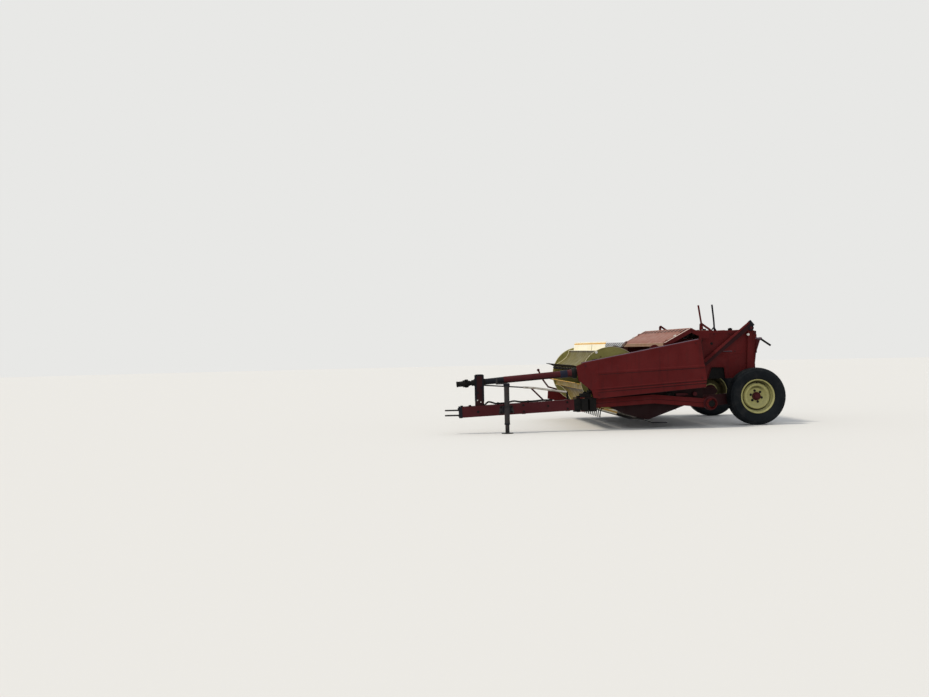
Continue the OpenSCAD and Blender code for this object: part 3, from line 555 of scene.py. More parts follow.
def make_rim(side, sign):
    """A drop-centre rim with its dished disc, and a red hub with wheel bolts."""
    at, axis = WHEEL[side], (sign, 0, 0)
    drum = [(-88, 215.5), (-87, 205), (-81, 199), (-62, 197), (-44, 178), (-4, 176), (16, 180), (34, 196), (62, 197),
            (81, 199), (87, 205), (88, 215.5)]
    bead = [(3.4 * math.cos(TAU * k / 8), 213.5 + 3.4 * math.sin(TAU * k / 8)) for k in range(8)]
    piece = Piece()

    def ring(look, outline):
        piece.use(look).lathe(outline, at, axis, 96)

    ring("rim_cream", band([(3, 53), (3, 96), (8, 106), (26, 122), (42, 136), (46, 147), (43, 155)], 6))
    for edge in (-88, 88):
        ring("rim_cream", [(edge + s, r) for s, r in bead])
    ring("rim_cream", band(drum[5:], 5))
    ring("rim_cream", band([(43, 155), (36, 163), (24, 168)], 6))
    # Painted shade on the inboard drum and in the recess inside the flange
    ring("rim_shadow", band(drum[:6], 5))
    ring("rim_shadow", band([(24, 168), (16, 171), (6, 178)], 6))
    # Painted shade: a dark skin on the inner side of the disc
    ring("rim_shadow", band([(1.5, 99), (19.5, 126), (35.5, 139), (39.5, 149), (35.5, 158), (11.5, 168)], 6))
    rim = piece.done("rim_" + side + "_pressed", "wheel_" + side, "cream_paint", sharp=40)
    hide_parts("rim_" + side)

    hub = Piece().use("red_dark")
    hub.lathe([(-46, 25), (-46, 48), (-42, 52), (-9, 52), (-8.5, 84), (-0.5, 84), (-0.5, 52), (34, 51), (38, 46),
               (40, 35), (56, 34), (61, 30), (63, 20), (64, 0.5), (40, 0.5), (40, 25)], at, axis, 48)
    hub.use("cast")
    for spot in circle(at.x + sign * 6, at.y, at.z, 72, 6, 0.25):
        hub.bolt(spot, axis, 12)
        hub.disc(spot + Vector((sign * 11, 0, 0)), axis, 6, 8, 10)
    hub.use("black_rubber_and_shade")
    valve = at + Vector((sign * 40, 0, 172))
    hub.rod(valve - Vector((sign * 22, 0, 0)), valve + Vector((sign * 20, 0, -6)), 4, 8)
    hub = hub.done("hub_" + side + "_bolted", "wheel_" + side, "red_paint", sharp=40)
    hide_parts("hub_" + side)


# Reel

BAT_ANGLES = [i * TAU / 4 for i in range(4)]
# One bat's section at rest, as paths of (y, z) from the shaft, from its lip to its scoop
BAT_EDGE = [(51, 455), (57, 441)]
BAT_LIP = [(57, 441), (66, 422)]
BAT_WALL = [(66, 423), (76, 337)]
BAT_SHELF = [(75, 337), (137, 344)]
BAT_NECK = [(137, 345), (143, 318)]
BAT_SCOOP = [(143, 318), (150, 292), (164, 266), (182, 240), (222, 207), (280, 169), (330, 142), (372, 121)]
TINE_BAR = Vector((0, 366, 105))
TINE_LEN = 130
TINE_TURNS = (28, 56, 45, 20)  # each bar's own angle, in degrees from its bat's


def make_bats():
    """The reel's bats: a hemmed lip, a wall with a seam, a shelf, and a ribbed scoop down to the tine bar."""
    inner = DISC_X - 5
    piece = Piece()
    for k, a in enumerate(BAT_ANGLES):
        # The colours paint light and shade at rest: near-white edges and walls as painted highlight on the first three
        # bats, their scoops and ribs dark olive as painted shade, and the neck under each shelf darker still as
        # painted shadow. The fourth bat is yellow and ochre.
        edge, wall, shelf, scoop = ("yellow", "yellow", "ochre", "ochre") if k == 3 else (
            "white_cream", "white_cream", "cream", "olive_dark")
        for look, path in ((edge, BAT_EDGE), ("yellow", BAT_LIP), (wall, BAT_WALL), (shelf, BAT_SHELF),
                           ("olive_shadow", BAT_NECK), (scoop, BAT_SCOOP)):
            piece.use(look).prism(band(turned(path, a, REEL), 3), -inner, inner)
        (hem_y, hem_z), (fold_y, fold_z) = turned([(52, 453), (137, 343)], a, REEL)
        piece.use(edge).across(inner, hem_y, hem_z, 4, 8)
        piece.across(inner, fold_y, fold_z, 3.2, 8)
        piece.use("cream")
        curve = BAT_NECK[:-1] + BAT_SCOOP
        flange = curve + [(y + 10, z + 10) for y, z in reversed(curve[:-1])]
        for side in (-1, 1):
            piece.prism(turned(flange, a, REEL), side * inner, side * (inner - 3))
        piece.use("olive_dark")
        for share in (-0.5, 0, 0.5):
            rib = [(84, 332), (140, 312), (184, 238), (252, 190), (200, 170), (120, 220), (90, 280)]
            piece.prism(turned(rib, a, REEL), share * inner - 2, share * inner + 2)
        # The wall is made of two lengths, with a lapped seam left of the middle.
        piece.use("olive").prism(band(turned([(69, 418), (79, 342)], a, REEL), 3), -306, -296)
    bats = piece.done("reel_bats_formed", "reel", "cream_paint", sharp=36)
    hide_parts("reel_bats")


def make_discs():
    """Turned edges, a pressed ring, hub flanges and bolts on the reel's end discs."""
    piece = Piece()
    for side in (-1, 1):
        at, axis = Vector((side * DISC_X, REEL.y, REEL.z)), (side, 0, 0)
        for look, outline, steps in (
                ("cream", [(-6, 384), (-6, 390), (9, 390), (9, 386.5), (0, 386.5), (-1, 384)], 120),
                ("olive", [(-0.5, 158), (4, 165), (4, 175), (-0.5, 182)], 72),
                ("dark_steel", [(-0.5, 34), (-0.5, 84), (7, 84), (8, 50), (26, 48), (26, 34)], 48)):
            piece.use(look).lathe(outline, at, axis, steps)
        for k, a in enumerate(BAT_ANGLES):
            for i, (y, z) in enumerate(turned([(183, 322), (96, 362), (300, 122)], a, REEL)):
                piece.use("zinc" if k == i == 0 else "olive").bolt((side * DISC_X, y, z), axis, 8 if i else 13)
            (y, z), = turned([(66, 0)], a, REEL)
            piece.use("cast").bolt((side * (DISC_X + 7), y, z), axis, 8)
    piece.done("reel_disc_trim", "reel", "cream_paint", sharp=36)


def make_tines():
    """Tine bars that carry pairs of spring teeth, each pair wound round its bar and at the bar's own angle."""
    bar, wire, pitch, coils = 11, 4.6, 152, 1.6
    end = DISC_X - 4.4
    count = int((2 * DISC_X - 80) / pitch)
    piece = Piece().use("greasy")
    for a, tilt in zip(BAT_ANGLES, TINE_TURNS):
        turn = Matrix.Translation(Vector((0, REEL.y, REEL.z))) @ Matrix.Rotation(a, 4, "X")
        tilt = math.radians(tilt)
        out = Vector((0, math.cos(tilt), math.sin(tilt)))
        aside = Vector((0, -out.z, out.y))

        def sleeve(x0, x1, radius, sides):
            piece.rod(turn @ (TINE_BAR + Vector((x0, 0, 0))), turn @ (TINE_BAR + Vector((x1, 0, 0))), radius, sides)

        sleeve(-end, end, bar, 14)
        for i in range(count + 1):
            x = (i - count / 2) * pitch
            sleeve(x - 7, x + 7, bar + 5, 10)
            for side in (-1, 1):
                path = []
                for k in range(14):
                    t = k / 13
                    spin = tilt + TAU * (0.25 + (t - 1) * coils)
                    around = Vector((0, math.cos(spin), math.sin(spin))) * (bar + wire)
                    path.append(TINE_BAR + Vector((x + side * (8 + 7 * t), 0, 0)) + around)
                start, tip = path[-1], TINE_BAR + out * TINE_LEN + Vector((x + side * 15, 0, 0))
                for t in (0.25, 0.5, 0.75, 1.0):
                    path.append(start.lerp(tip, t) + aside * 6 * math.sin(math.pi * t))
                piece.tube([turn @ p for p in path], wire, 5)
    tines = piece.done("reel_tines_sprung", "reel", "dark_steel", sharp=50)
    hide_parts("reel_tines")


# Rolls


def make_roll(node, body, at, direction):
    """A rubber roll whose lugs meet in a chevron at its middle."""
    reach, shaft = HALF_W - 10, box(node)[1].x
    core, top, lugs = 106, ROLL_R - 0.5, 10
    piece = Piece().use("roll_rubber")
    piece.lathe([(-reach, 30), (-reach, core), (reach, core), (reach, 30)], (0, at.y, at.z), X, 60)
    for k in range(lugs):
        for side in (-1, 1):
            rings = []
            for j in range(25):
                x = side * reach * j / 24
                a = TAU * k / lugs + direction * TAU * 0.55 * j / 24
                ring = []
                for r, half in ((core - 3, 0.17), (top - 3, 0.115), (top, 0.085), (top, -0.085), (top - 3, -0.115),
                                (core - 3, -0.17)):
                    ring.append((x, at.y + r * math.cos(a + half), at.z + r * math.sin(a + half)))
                rings.append(ring)
            piece.rings(rings)
    piece.use("dark_steel").across(shaft, at.y, at.z, 28, 24)
    for side in (-1, 1):
        piece.disc((side * (reach - 1), at.y, at.z), (side, 0, 0), 74, 5, 32)
    roll = piece.done(node + "_chevron", body, "roll_rubber", sharp=35)
    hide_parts(node)


# Sheet metal


def fold(piece, start, end, profile, x, inward):
    """Carries a profile along an edge of a side view. Its points are (inward from x, off the edge's left side)."""
    (ay, az), (by, bz) = start, end
    length = math.hypot(by - ay, bz - az)
    off = Vector((0, -(bz - az) / length, (by - ay) / length))
    rings = []
    for y, z in (start, end):
        rings.append([Vector((x, y, z)) + Vector((inward * d, 0, 0)) + off * n for d, n in profile])
    return piece.rings(rings)


SHIELD_OUTLINE = [(2354, 800), (2279, 829), (836, 1087), (801, 1081), (764, 778), (742, 614), (753, 503), (2067, 396),
                  (2148, 408), (2167, 491), (2327, 622)]
SHIELD_BEADS = (
    ([(2120, 708), (771, 765)], 18, 7),
    ([(2130, 512), (742, 599)], 11, 6),
    ([(2130, 482), (744, 567)], 11, 6),
)


def pressed_face(outline, x, outward, beads, thickness):
    """A flat sheet in side view whose long beads stand proud of it and run out towards its front end."""
    run_out = 60
    bm = bmesh.new()
    bm.faces.new([bm.verts.new((x, y, z)) for y, z in outline])

    def cut(at, normal):
        parts = bm.verts[:] + bm.edges[:] + bm.faces[:]
        bmesh.ops.bisect_plane(bm, geom=parts, plane_co=at, plane_no=normal)

    lines = []
    for ((ay, az), (by, bz)), half, height in beads:
        along = Vector((0, by - ay, bz - az)).normalized()
        normal = Vector((0, -along.z, along.y))
        lines.append((Vector((x, ay, az)), along, normal, half, height))
        for share in (-1, -0.45, 0, 0.45, 1):
            cut(Vector((x, ay, az)) + normal * half * share, normal)
    for run in (0, run_out / 2, run_out):
        cut(Vector((x, beads[0][0][0][0] - run, 0)), Vector(Y))
    for v in bm.verts:
        for at, along, normal, half, height in lines:
            off = abs((v.co - at).dot(normal)) / half
            run = min(max((v.co - at).dot(along) / run_out, 0), 1)
            if off < 0.999:
                v.co.x += outward * height * math.cos(off * math.pi / 2) * run * (2 - run)
    bmesh.ops.recalc_face_normals(bm, faces=bm.faces)
    bmesh.ops.solidify(bm, geom=bm.faces[:], thickness=thickness)
    return bm


def make_shield():
    """The drive shield: a pressed face with folded edges, a painted highlight along its top, painted shadow strips
    below its beads, stiffeners, hinges and bolts.
    """
    sheet = 4
    depth = SHIELD_IN - SHIELD_X - sheet
    piece = Piece()
    piece.bm = pressed_face(SHIELD_OUTLINE, SHIELD_X + sheet, -1, SHIELD_BEADS, sheet)
    piece.use("red")
    low = min(v.co.x for v in piece.bm.verts)
    bmesh.ops.translate(piece.bm, verts=piece.bm.verts, vec=(SHIELD_X - 5 - low, 0, 0))
    front, rear, rear_low = [(2279, 841), (836, 1099), (801, 1081)]
    heel, toe, low_rear = [(764, 778), (2067, 396), (753, 503)]
    # The top edge rolls over into its return, which ends in a short lip.
    roll = [(13 * (1 - math.cos(a)), 13 * (math.sin(a) - 1)) for a in [TAU / 4 * k / 6 for k in range(7)]]
    roll += [(depth, 0), (depth, -14), (depth - sheet, -14), (depth - sheet, -sheet)]
    roll += [(13, -sheet), (sheet, -13), (sheet, -24), (0, -24)]
    fold(piece.use("red"), front, rear, [(d, -n) for d, n in roll], SHIELD_X, 1)
    # A pale line along the top edge paints its highlight.
    piece.use("pale_highlight").tube([(SHIELD_X + 8, y, z - 3) for y, z in (front, rear)], 6.5, 10)
    back = [(0, 0), (depth, 0), (depth, -sheet), (0, -sheet)]
    # The rear edge, the bottom lip and the stiffeners inside are in the darker red of grime and painted shade.
    fold(piece.use("red_grime_and_shade"), rear_low, heel, [(d, -n) for d, n in back], SHIELD_X, 1)
    lip = [(0, 0), (16, 0), (16, sheet), (0, sheet)]
    fold(piece, low_rear, toe, lip, SHIELD_X + 1, 1)
    # Painted shadow: darker strips below the beads
    for ((ay, az), (by, bz)), half, _ in SHIELD_BEADS:
        ay -= 40
        strip = [(ay, az - half), (by, bz - half), (by, bz - half - 8), (ay, az - half - 4)]
        piece.prism(strip, SHIELD_X + 0.8, SHIELD_X + 3)
    # Stiffeners inside, and the hinges along the rail
    slope = (front[1] - rear[1]) / (front[0] - rear[0])
    for y in (1010, 1560, 2020):
        top = rear[1] + (y - rear[0]) * slope - 26
        piece.block((SHIELD_X + sheet, y - 14, 560), (SHIELD_X + 9, y + 14, top))
    piece.use("black_paint")
    for y in (960, 1540, 2110):
        z = rear[1] + (y - rear[0]) * slope
        edge = Vector((SHIELD_IN - 3, y, z + 3))
        along = Vector((0, 1, slope)).normalized()
        piece.rod(edge - along * 34, edge + along * 34, 5, 10)
    piece.use("red_dark")
    for y, z in [(870, 1050), (800, 620), (2240, 800), (2080, 440)]:
        piece.bolt((SHIELD_X + 1, y, z), (-1, 0, 0), 8)
    shield = piece.done("drive_shield_pressed", "shield", "red_paint", sharp=28)
    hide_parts("drive_shield")


HOOD_TOP, HOOD_LIP = [(880, 1237), (1225, 1052)]
HOOD_SLOTS, HOOD_PITCH = 13, 213
HOOD_SLOPE = math.atan2(HOOD_LIP[1] - HOOD_TOP[1], HOOD_LIP[0] - HOOD_TOP[0])


def on_hood(x, down, lift=0.0):
    """A point on the hood's sloped panel: across, down from its top bend, and above its middle plane."""
    c, s = math.cos(HOOD_SLOPE), math.sin(HOOD_SLOPE)
    return Vector((x, HOOD_TOP[0] + down * c - lift * s, HOOD_TOP[1] + down * s + lift * c))


def make_hood_trim():
    """Hems, beads and clips on the hood, its row of slots drawn as dark plates of painted shade, its pale edge strips,
    and the skirts beside it.
    """
    length = math.hypot(HOOD_LIP[0] - HOOD_TOP[0], HOOD_LIP[1] - HOOD_TOP[1])
    normal = Vector((0, -math.sin(HOOD_SLOPE), math.cos(HOOD_SLOPE)))
    edge = HALF_W - 4
    piece = Piece()

    def bead(x0, down0, x1, down1, lift, radius, sides):
        piece.rod(on_hood(x0, down0, lift), on_hood(x1, down1, lift), radius, sides)

    def plate(look, x0, x1, down0, down1, lift0, lift1):
        corners = (x0, down0), (x1, down0), (x1, down1), (x0, down1)
        piece.use(look).rings([[on_hood(x, down, lift) for x, down in corners] for lift in (lift0, lift1)])

    # The front hem is a pale sand colour as painted highlight.
    piece.use("lip_sand")
    bead(-edge, length - 2, edge, length - 2, 1, 5, 10)
    piece.block((-edge, HOOD_LIP[0] + 1.9, HOOD_LIP[1] - 30), (edge, HOOD_LIP[0] + 3, HOOD_LIP[1] - 2))
    piece.across(edge, HOOD_LIP[0], HOOD_LIP[1] - 33, 3, 8)
    for side in (-1, 1):
        outer, bar = side * (HALF_W + 45), side * (HALF_W - 62)
        plate("flange_pale", side * (HALF_W - 6), outer, 14, length - 14, 1, 4)
        piece.use("red_dark")
        bead(bar, 6, bar, length - 6, 2, 4, 8)
        skirt = [(890, 1231), (1215, 1057), (1215, 1036), (1120, 1053), (890, 1176)]
        piece.use("red").prism(skirt, outer, outer + side * 1.5)
    # A pressed strip over the top of the panel, with the row of slots that the photo shows, drawn as dark plates of
    # painted shade
    plate("red_faded", -edge + 20, edge - 20, 24, 84, 1, 3.5)
    for i in range(HOOD_SLOTS):
        x = (i - (HOOD_SLOTS - 1) / 2) * HOOD_PITCH
        plate("greasy", x - 40, x + 40, 26, 82, 3, 5)
    # Shallow beads across the panel, below the row of slots and above the lip
    piece.use("red_faded")
    for down in (100, 340):
        bead(-edge + 120, down, edge - 120, down, 0.4, 4, 8)
    for side in (-1, 1):
        for look, down in (("red_faded", 115), ("zinc", 209), ("red_faded", 330)):
            spot = on_hood(side * (HALF_W - 46), down, 4)
            piece.use(look).block(spot - Vector((24, 17, 4)), spot + Vector((24, 17, 2)))
            piece.bolt(spot, normal, 14)
        for y, lift in ((850, 24), (770, 1), (690, 1)):
            piece.use("red_dark").bolt((side * (HALF_W - 60), y, ROOF_Z + lift), Z, 9)
    piece.done("hood_trim", "frame", "faded_paint", sharp=40)


def make_roof_trim():
    """Stiffening beads, edge flanges and screws on the roof, and the brackets at its back."""
    low, high = box("roof")
    piece = Piece().use("red_faded")
    for share in (0.24, 0.5, 0.76):
        y = low.y + (high.y - low.y) * share
        piece.across(PANEL_X - 80, y, ROOF_Z - 1, 7, 10)
    piece.use("red")
    for side in (-1, 1):
        x = side * PANEL_X
        piece.block((x, low.y, ROOF_Z - 34), (x + side * 4, high.y, ROOF_Z + 1))
    piece.block((-PANEL_X, low.y - 3, ROOF_Z - 8), (PANEL_X, low.y, ROOF_Z))
    piece.use("red_dark")
    for i in range(13):
        x = (i / 6 - 1) * (PANEL_X - 40)
        for y in (low.y + 20, high.y - 24):
            piece.bolt((x, y, ROOF_Z), Z, 7)
    piece.use("greasy")
    for x in (-PANEL_X + 40, PANEL_X - 40):
        piece.block((x - 22, 222, ROOF_Z), (x + 22, 268, ROOF_Z + 24))
        piece.across(34, 245, ROOF_Z + 20, 11, 14, x)
    piece.done("roof_trim", "frame", "faded_paint", sharp=40)


def make_panels():
    """Edge flanges, seams, a pressed line drawn in painted shade and highlight, a slot drawn as a dark disc of painted
    shade, bolts and greasy baffles on the windrow panels.
    """
    piece = Piece()
    for side in (-1, 1):
        x = side * PANEL_X
        piece.use("red")
        edge = [(-84, 1090), (-66, 866), (-36, 640), (-20, 600), (335, 590), (350, 732), (508, 736), (560, 590)]
        for a, b in zip(edge, edge[1:]):
            fold(piece, a, b, [(0, 0), (20, 0), (20, 3), (0, 3)], x, side)
        piece.tube([(x, 90, 905), (x, 470, 905)], 4, 8)
        piece.block((x, 604, 700), (x + side * 3, 640, ROOF_Z - 100))
        # A pressed line, drawn as a dark strip of painted shade under a pale strip of painted highlight.
        piece.use("black_rubber_and_shade").block((x, 236, 927), (x + side * 1.6, 428, 933))
        piece.use("pale_highlight").block((x, 236, 934), (x + side * 1.8, 428, 940))
        piece.use("red_dark")
        for y, z in [(620, 740), (620, 860), (620, 980), (620, 1080), (260, 1160), (460, 1160), (200, 934),
                     (462, 934)]:
            piece.bolt((x + side * 1, y, z), (side, 0, 0), 8)
        # A dark disc paints the shade inside the slot.
        piece.use("greasy").disc((x, 500, 1038), (side, 0, 0), 17, 3, 20)
        piece.block((x - side * 14 - 1, 325, 588), (x - side * 14 + 1, 572, 748))
    piece.done("windrow_panel_trim", "frame", "red_paint", sharp=40)


def make_masts():
    """The bands, black head, pin and bolts of the mast's strut, and the edge beads of its post, on the left."""
    outer, post_x = box("mast_strut")[0].x, box("mast_post")[0].x
    head_z = box("mast_post")[1].z - 34
    top, foot = Vector((0, 10, 1320)), Vector((0, 775, 706))
    along = (foot - top).normalized()
    below = Vector((0, along.z, -along.y))

    def on_strut(share, drop, proud):
        return top.lerp(foot, share) + below * drop + Vector((outer - proud, 0, 0))

    piece = Piece()
    # The upper band leans back to the sky and ends in a ledge, and the lower band is painted dark as the ledge's
    # shadow. Each row gives (below, proud) at the strut's top and then at its foot.
    for look, rows in (("red", ((1, 0, 1, 0), (15, 9, 40, 9), (20, 0, 45, 0), (20, -3, 45, -3), (1, -3, 1, -3))),
                       ("red_grime_and_shade", ((20, 0, 45, 0), (20, 2, 45, 2), (74, 2, 74, 2), (74, 0, 74, 0)))):
        piece.use(look).rings([[on_strut(0.02, r[0], r[1]) for r in rows], [on_strut(0.99, r[2], r[3]) for r in rows]])
    piece.use("black_paint")
    piece.rings([[on_strut(share, drop, proud) for share, drop in ((-0.012, -3), (0.03, -3), (0.03, 79), (-0.012, 79))]
                 for proud in (3, -33)])
    piece.disc((outer + 34, 0, head_z), (-1, 0, 0), 36, 38, 28)
    piece.use("zinc").bolt((post_x - 1, 30, 1145), (-1, 0, 0), 13)
    piece.use("red_dark").bolt((outer - 3, 0, head_z), (-1, 0, 0), 15)
    for y, z in [(690, 722), (655, 752)]:
        piece.bolt((outer, y, z), (-1, 0, 0), 11)
    piece.use("red")
    for a, b in (((-52, 640), (-27, 1262)), ((27, 1262), (52, 640))):
        fold(piece, a, b, [(0, -4), (9, -4), (9, 4), (0, 4)], post_x + 4, -1)
    piece.done("mast_trim", "frame", "red_paint", sharp=40)


def make_gate():
    """Hinge knuckles, hem and stiffeners on the swath gate, its end plates' tubes, and the black stop rod."""
    low, high = box("swath_gate")
    width = high.x - 20
    piece = Piece().use("red_dark")
    for i in range(9):
        x = (i / 4 - 1) * width
        piece.disc((x - 24, GATE.y, GATE.z), X, 19, 48, 20)
    piece.across(width, GATE.y - 10, low.z + 4, 7, 10)
    for drop in (90, 180):
        piece.across(width, GATE.y - 8, GATE.z - drop, 6, 10)
    for i in range(7):
        x = (i / 3 - 1) * (width - 60)
        piece.block((x - 3, GATE.y - 48, low.z + 12), (x + 3, GATE.y - 7, GATE.z - 20))
    # The end plates' tubes are pale as painted highlight on their tops.
    piece.use("pale_highlight")
    for side in (-1, 1):
        x = side * (high.x - 12)
        piece.rod((x, GATE.y - 8, GATE.z - 74), (x, GATE.y - 88, GATE.z - 76), 14, 16)
    piece.use("black_rubber_and_shade")
    x = -high.x + 24
    at = Vector((x + 2, GATE.y - 84, GATE.z - 76))
    piece.lathe([(-20, 0.5), (-20, 13), (-11, 19), (4, 20), (13, 15), (17, 0.5)], at, (0, 0.2, 1), 20)
    piece.rod((x, GATE.y - 70, GATE.z - 70), (x, GATE.y - 212, GATE.z - 167), 13, 12)
    piece.done("swath_gate_trim", "gate", "red_paint", sharp=40)


def make_sheets():
    """Bearing housings on the side sheets, flanges, beads and bolts on the right one, and the reel's bearings."""
    piece = Piece()
    for side in (-1, 1):
        x = side * SHEET_OUT
        for at in (ROLL_LOW, ROLL_UP):
            piece.use("greasy")
            piece.lathe([(0, 30), (0, 66), (7, 66), (9, 52), (18, 48), (20, 44), (20, 30)], (x, at.y, at.z),
                        (side, 0, 0), 40)
            for spot in circle(x + side * 7, at.y, at.z, 58, 4, 0.5):
                piece.bolt(spot, (side, 0, 0), 7)
    # Blocks on the left sheet, seen in the gap below the drive shield
    piece.use("red_dark").block((-SHEET_OUT - 40, 975, 402), (-SHEET_OUT, 1090, 432))
    piece.rod((-SHEET_OUT - 30, 940, 417), (-SHEET_OUT - 30, 980, 417), 12, 12)
    piece.rod((-SHEET_OUT - 46, 852, 420), (-SHEET_OUT, 852, 420), 26, 20)
    piece.use("red")
    edge = [(777, 1060), (1250, 1020), (1420, 985), (1640, 800), (2060, 480), (2150, 420), (2325, 405), (2335, 290),
            (2160, 240)]
    for a, b in zip(edge, edge[1:]):
        fold(piece, a, b, [(-2, -3), (26, -3), (26, 0), (-2, 0)], SHEET_OUT, 1)
    for y, z in [(900, 900), (1000, 620)]:
        piece.tube([(SHEET_OUT, y, z), (SHEET_OUT, y + 380, z - 40)], 6, 10)
    piece.use("red_dark")
    for y, z in [(800, 980), (800, 700), (800, 460), (980, 1010), (1180, 985), (1500, 740), (1700, 640), (1900, 520),
                 (2120, 380), (1400, 210), (1700, 250), (2000, 330), (2240, 340)]:
        piece.bolt((SHEET_OUT, y, z), X, 9)
    for side in (-1, 1):
        inner = side * (HALF_W - 20)
        piece.use("cast")
        piece.lathe([(0, 33), (0, 58), (10, 56), (12, 46), (16, 44), (16, 33)], (inner, REEL.y, REEL.z),
                    (-side, 0, 0), 32)
        for y, z in [(1335, 1000), (1365, 950), (1305, 950)]:
            piece.bolt((inner, y, z), (-side, 0, 0), 10)
    piece.done("side_sheet_trim", "frame", "red_paint", sharp=40)


# Cutting and drive

GUARD_PITCH = 76.2
GUARD_COUNT = int((2 * HALF_W - 40) / GUARD_PITCH)
GUARDS = [(i - (GUARD_COUNT - 1) / 2) * GUARD_PITCH for i in range(GUARD_COUNT)]


def make_cutterbar():
    """The cutterbar with its pointed guards and their bolts."""
    low, _ = box("cutterbar")
    back, under, top = low.y, low.z, low.z + 12
    piece = Piece().use("dark_steel")
    piece.block((-HALF_W, back, under), (HALF_W, back + 62, top))
    # A guard's section on its way forward: its place, half its width, its underside and its top
    guard = [(8, 17, 0, 7), (40, 17, 0, 9), (62, 14, 0, 16), (92, 11, -4, 16), (128, 8, -6, 15), (158, 5, -4, 11),
             (174, 1.5, 0, 6)]
    for x in GUARDS:
        piece.rings([[(x - half, back + y, top + z0), (x + half, back + y, top + z0),
                      (x + half * 0.8, back + y, top + z1), (x - half * 0.8, back + y, top + z1)]
                     for y, half, z0, z1 in guard])
    piece.use("zinc")
    for x in GUARDS:
        piece.bolt((x, back + 34, under), (0, 0, -1), 7)
    bar = piece.done("cutterbar_guarded", "frame", "dark_steel", sharp=35)
    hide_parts("cutterbar")


def make_knife():
    """The knife: its back, and its riveted sections with toothed edges."""
    low, high = box("knife")
    thin, teeth = 3, 8
    piece = Piece().use("bright_steel")
    piece.block(low, (high.x, low.y + 24, high.z))
    edge = [(36 - 26 * k / teeth - (1.2 if k % 2 else 0), 24 + 66 * k / teeth) for k in range(teeth + 1)]
    outline = [(-36, 20), (36, 20)] + edge + [(-a, b) for a, b in reversed(edge)]
    for x in GUARDS[1:-1]:
        piece.rings([[(x + a, low.y + b, z) for a, b in outline] for z in (low.z, low.z + thin)])
        for dx in (-14, 14):
            piece.disc((x + dx, low.y + 12, high.z), Z, 4, 2, 10)
    knife = piece.done("knife_toothed", "knife_bar", "bright_steel", sharp=35)
    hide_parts("knife")


def make_gearbox():
    """The gearbox casting: a ribbed case with covers, its input shaft and its mounting bolts."""
    (x0, _, z0), (x1, _, z1) = box("gearbox")
    back, front, cut = 2035, 2195, 22
    middle_y, middle_z = (back + front) / 2, (z0 + z1) / 2
    piece = Piece().use("cast")
    outline = [(back + cut, z0), (front - cut, z0), (front, z0 + cut), (front, z1 - cut), (front - cut, z1),
               (back + cut, z1), (back, z1 - cut), (back, z0 + cut)]
    piece.prism(outline, x0 + 8, x1)
    for k in range(5):
        x = x0 + 26 + k * (x1 - x0 - 48) / 4
        piece.prism([(y, z + (2 if z > middle_z else -2)) for y, z in outline], x - 3, x + 3)
    shaft = Vector((TONGUE_X, front, DRIVE_BACK.z))
    piece.lathe([(0, 22.5), (0, 62), (10, 62), (14, 46), (34, 42), (34, 22.5)], shaft, Y, 36)
    piece.lathe([(0, 1), (0, 58), (8, 58), (14, 40), (14, 1)], (x0 + 8, middle_y, middle_z), (-1, 0, 0), 36)
    piece.use("dark_steel").rod(shaft, (TONGUE_X, DRIVE_BACK.y - 42, DRIVE_BACK.z), 21.8, 24)
    for spot in circle(0, 0, 0, 52, 6):
        piece.bolt(shaft + Vector((spot.y, 10, spot.z)), Y, 6)
    for spot in circle(x0, middle_y, middle_z, 49, 6):
        piece.bolt(spot, (-1, 0, 0), 6)
    gearbox = piece.done("gearbox_cast", "frame", "dark_steel", sharp=35, bevel=2)
    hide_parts("gearbox")


def make_sheave():
    """The reel's drive sheave: a grooved rim on spokes, and its hub."""
    x = box("reel_sheave")[0].x
    at = (x, REEL.y, REEL.z)
    piece = Piece().use("cast")
    piece.lathe([(0, 122), (0, 150), (3, 150), (8, 138), (18, 138), (23, 150), (26, 150), (26, 122)], at, X, 96)
    piece.lathe([(-2, 32.1), (-2, 52), (28, 52), (28, 32.1)], at, X, 40)
    for k in range(5):
        piece.prism(turned([(46, 17), (46, -17), (126, -11), (126, 11)], TAU * k / 5, REEL), x + 8, x + 18)
    sheave = piece.done("reel_sheave_spoked", "reel", "dark_steel", sharp=35)
    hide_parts("reel_sheave")


def make_levers():
    """Two adjusting levers on the roof's left, and the open brackets on the left and the right."""
    base, lever_x, right_shift = ROOF_Z, 880, 150
    piece = Piece()

    def bar(x, a, b, wide, thick):
        """A flat bar on edge from a to b, both (y, z) above the roof."""
        piece.prism([(y, base + z) for y, z in band([a, b], wide)], x - thick / 2, x + thick / 2)

    def lever(x, points, radius):
        piece.tube(rounded([(x, y, base + z) for y, z in points], 60), radius, 12)

    for x, shift in ((-lever_x, 0), (lever_x, right_shift)):
        piece.use("red")
        for side in (-1, 1):
            at = x + side * 16
            bar(at, (626 + shift, 2), (622 + shift, 88), 26, 6)
            bar(at, (500 + shift, 10), (612 + shift, 90), 22, 6)
            piece.disc((at - side * 3, 614 + shift, base + 86), (side, 0, 0), 17, 6, 20)
        piece.block((x - 20, 492 + shift, base), (x + 20, 640 + shift, base + 8))
        piece.across(21, 614 + shift, base + 86, 9, 14, x)
        piece.use("greasy").block((x - 18, 560 + shift, base), (x + 18, 600 + shift, base + 26))
    piece.use("red")
    lever(-lever_x, [(600, 20), (618, 110), (650, 330)], 12)
    x = 40 - lever_x
    piece.use("black_paint")
    lever(x, [(436, 0), (441, 120), (462, 336)], 11.5)
    for y in (478, 414):
        piece.rod((x, y, base), (x, 442, base + 46), 8, 10)
    piece.disc((x, 486, base), Z, 15, 14, 16)
    levers = piece.done("control_levers_gripped", "frame", "red_paint", sharp=35)
    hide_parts("control_levers")


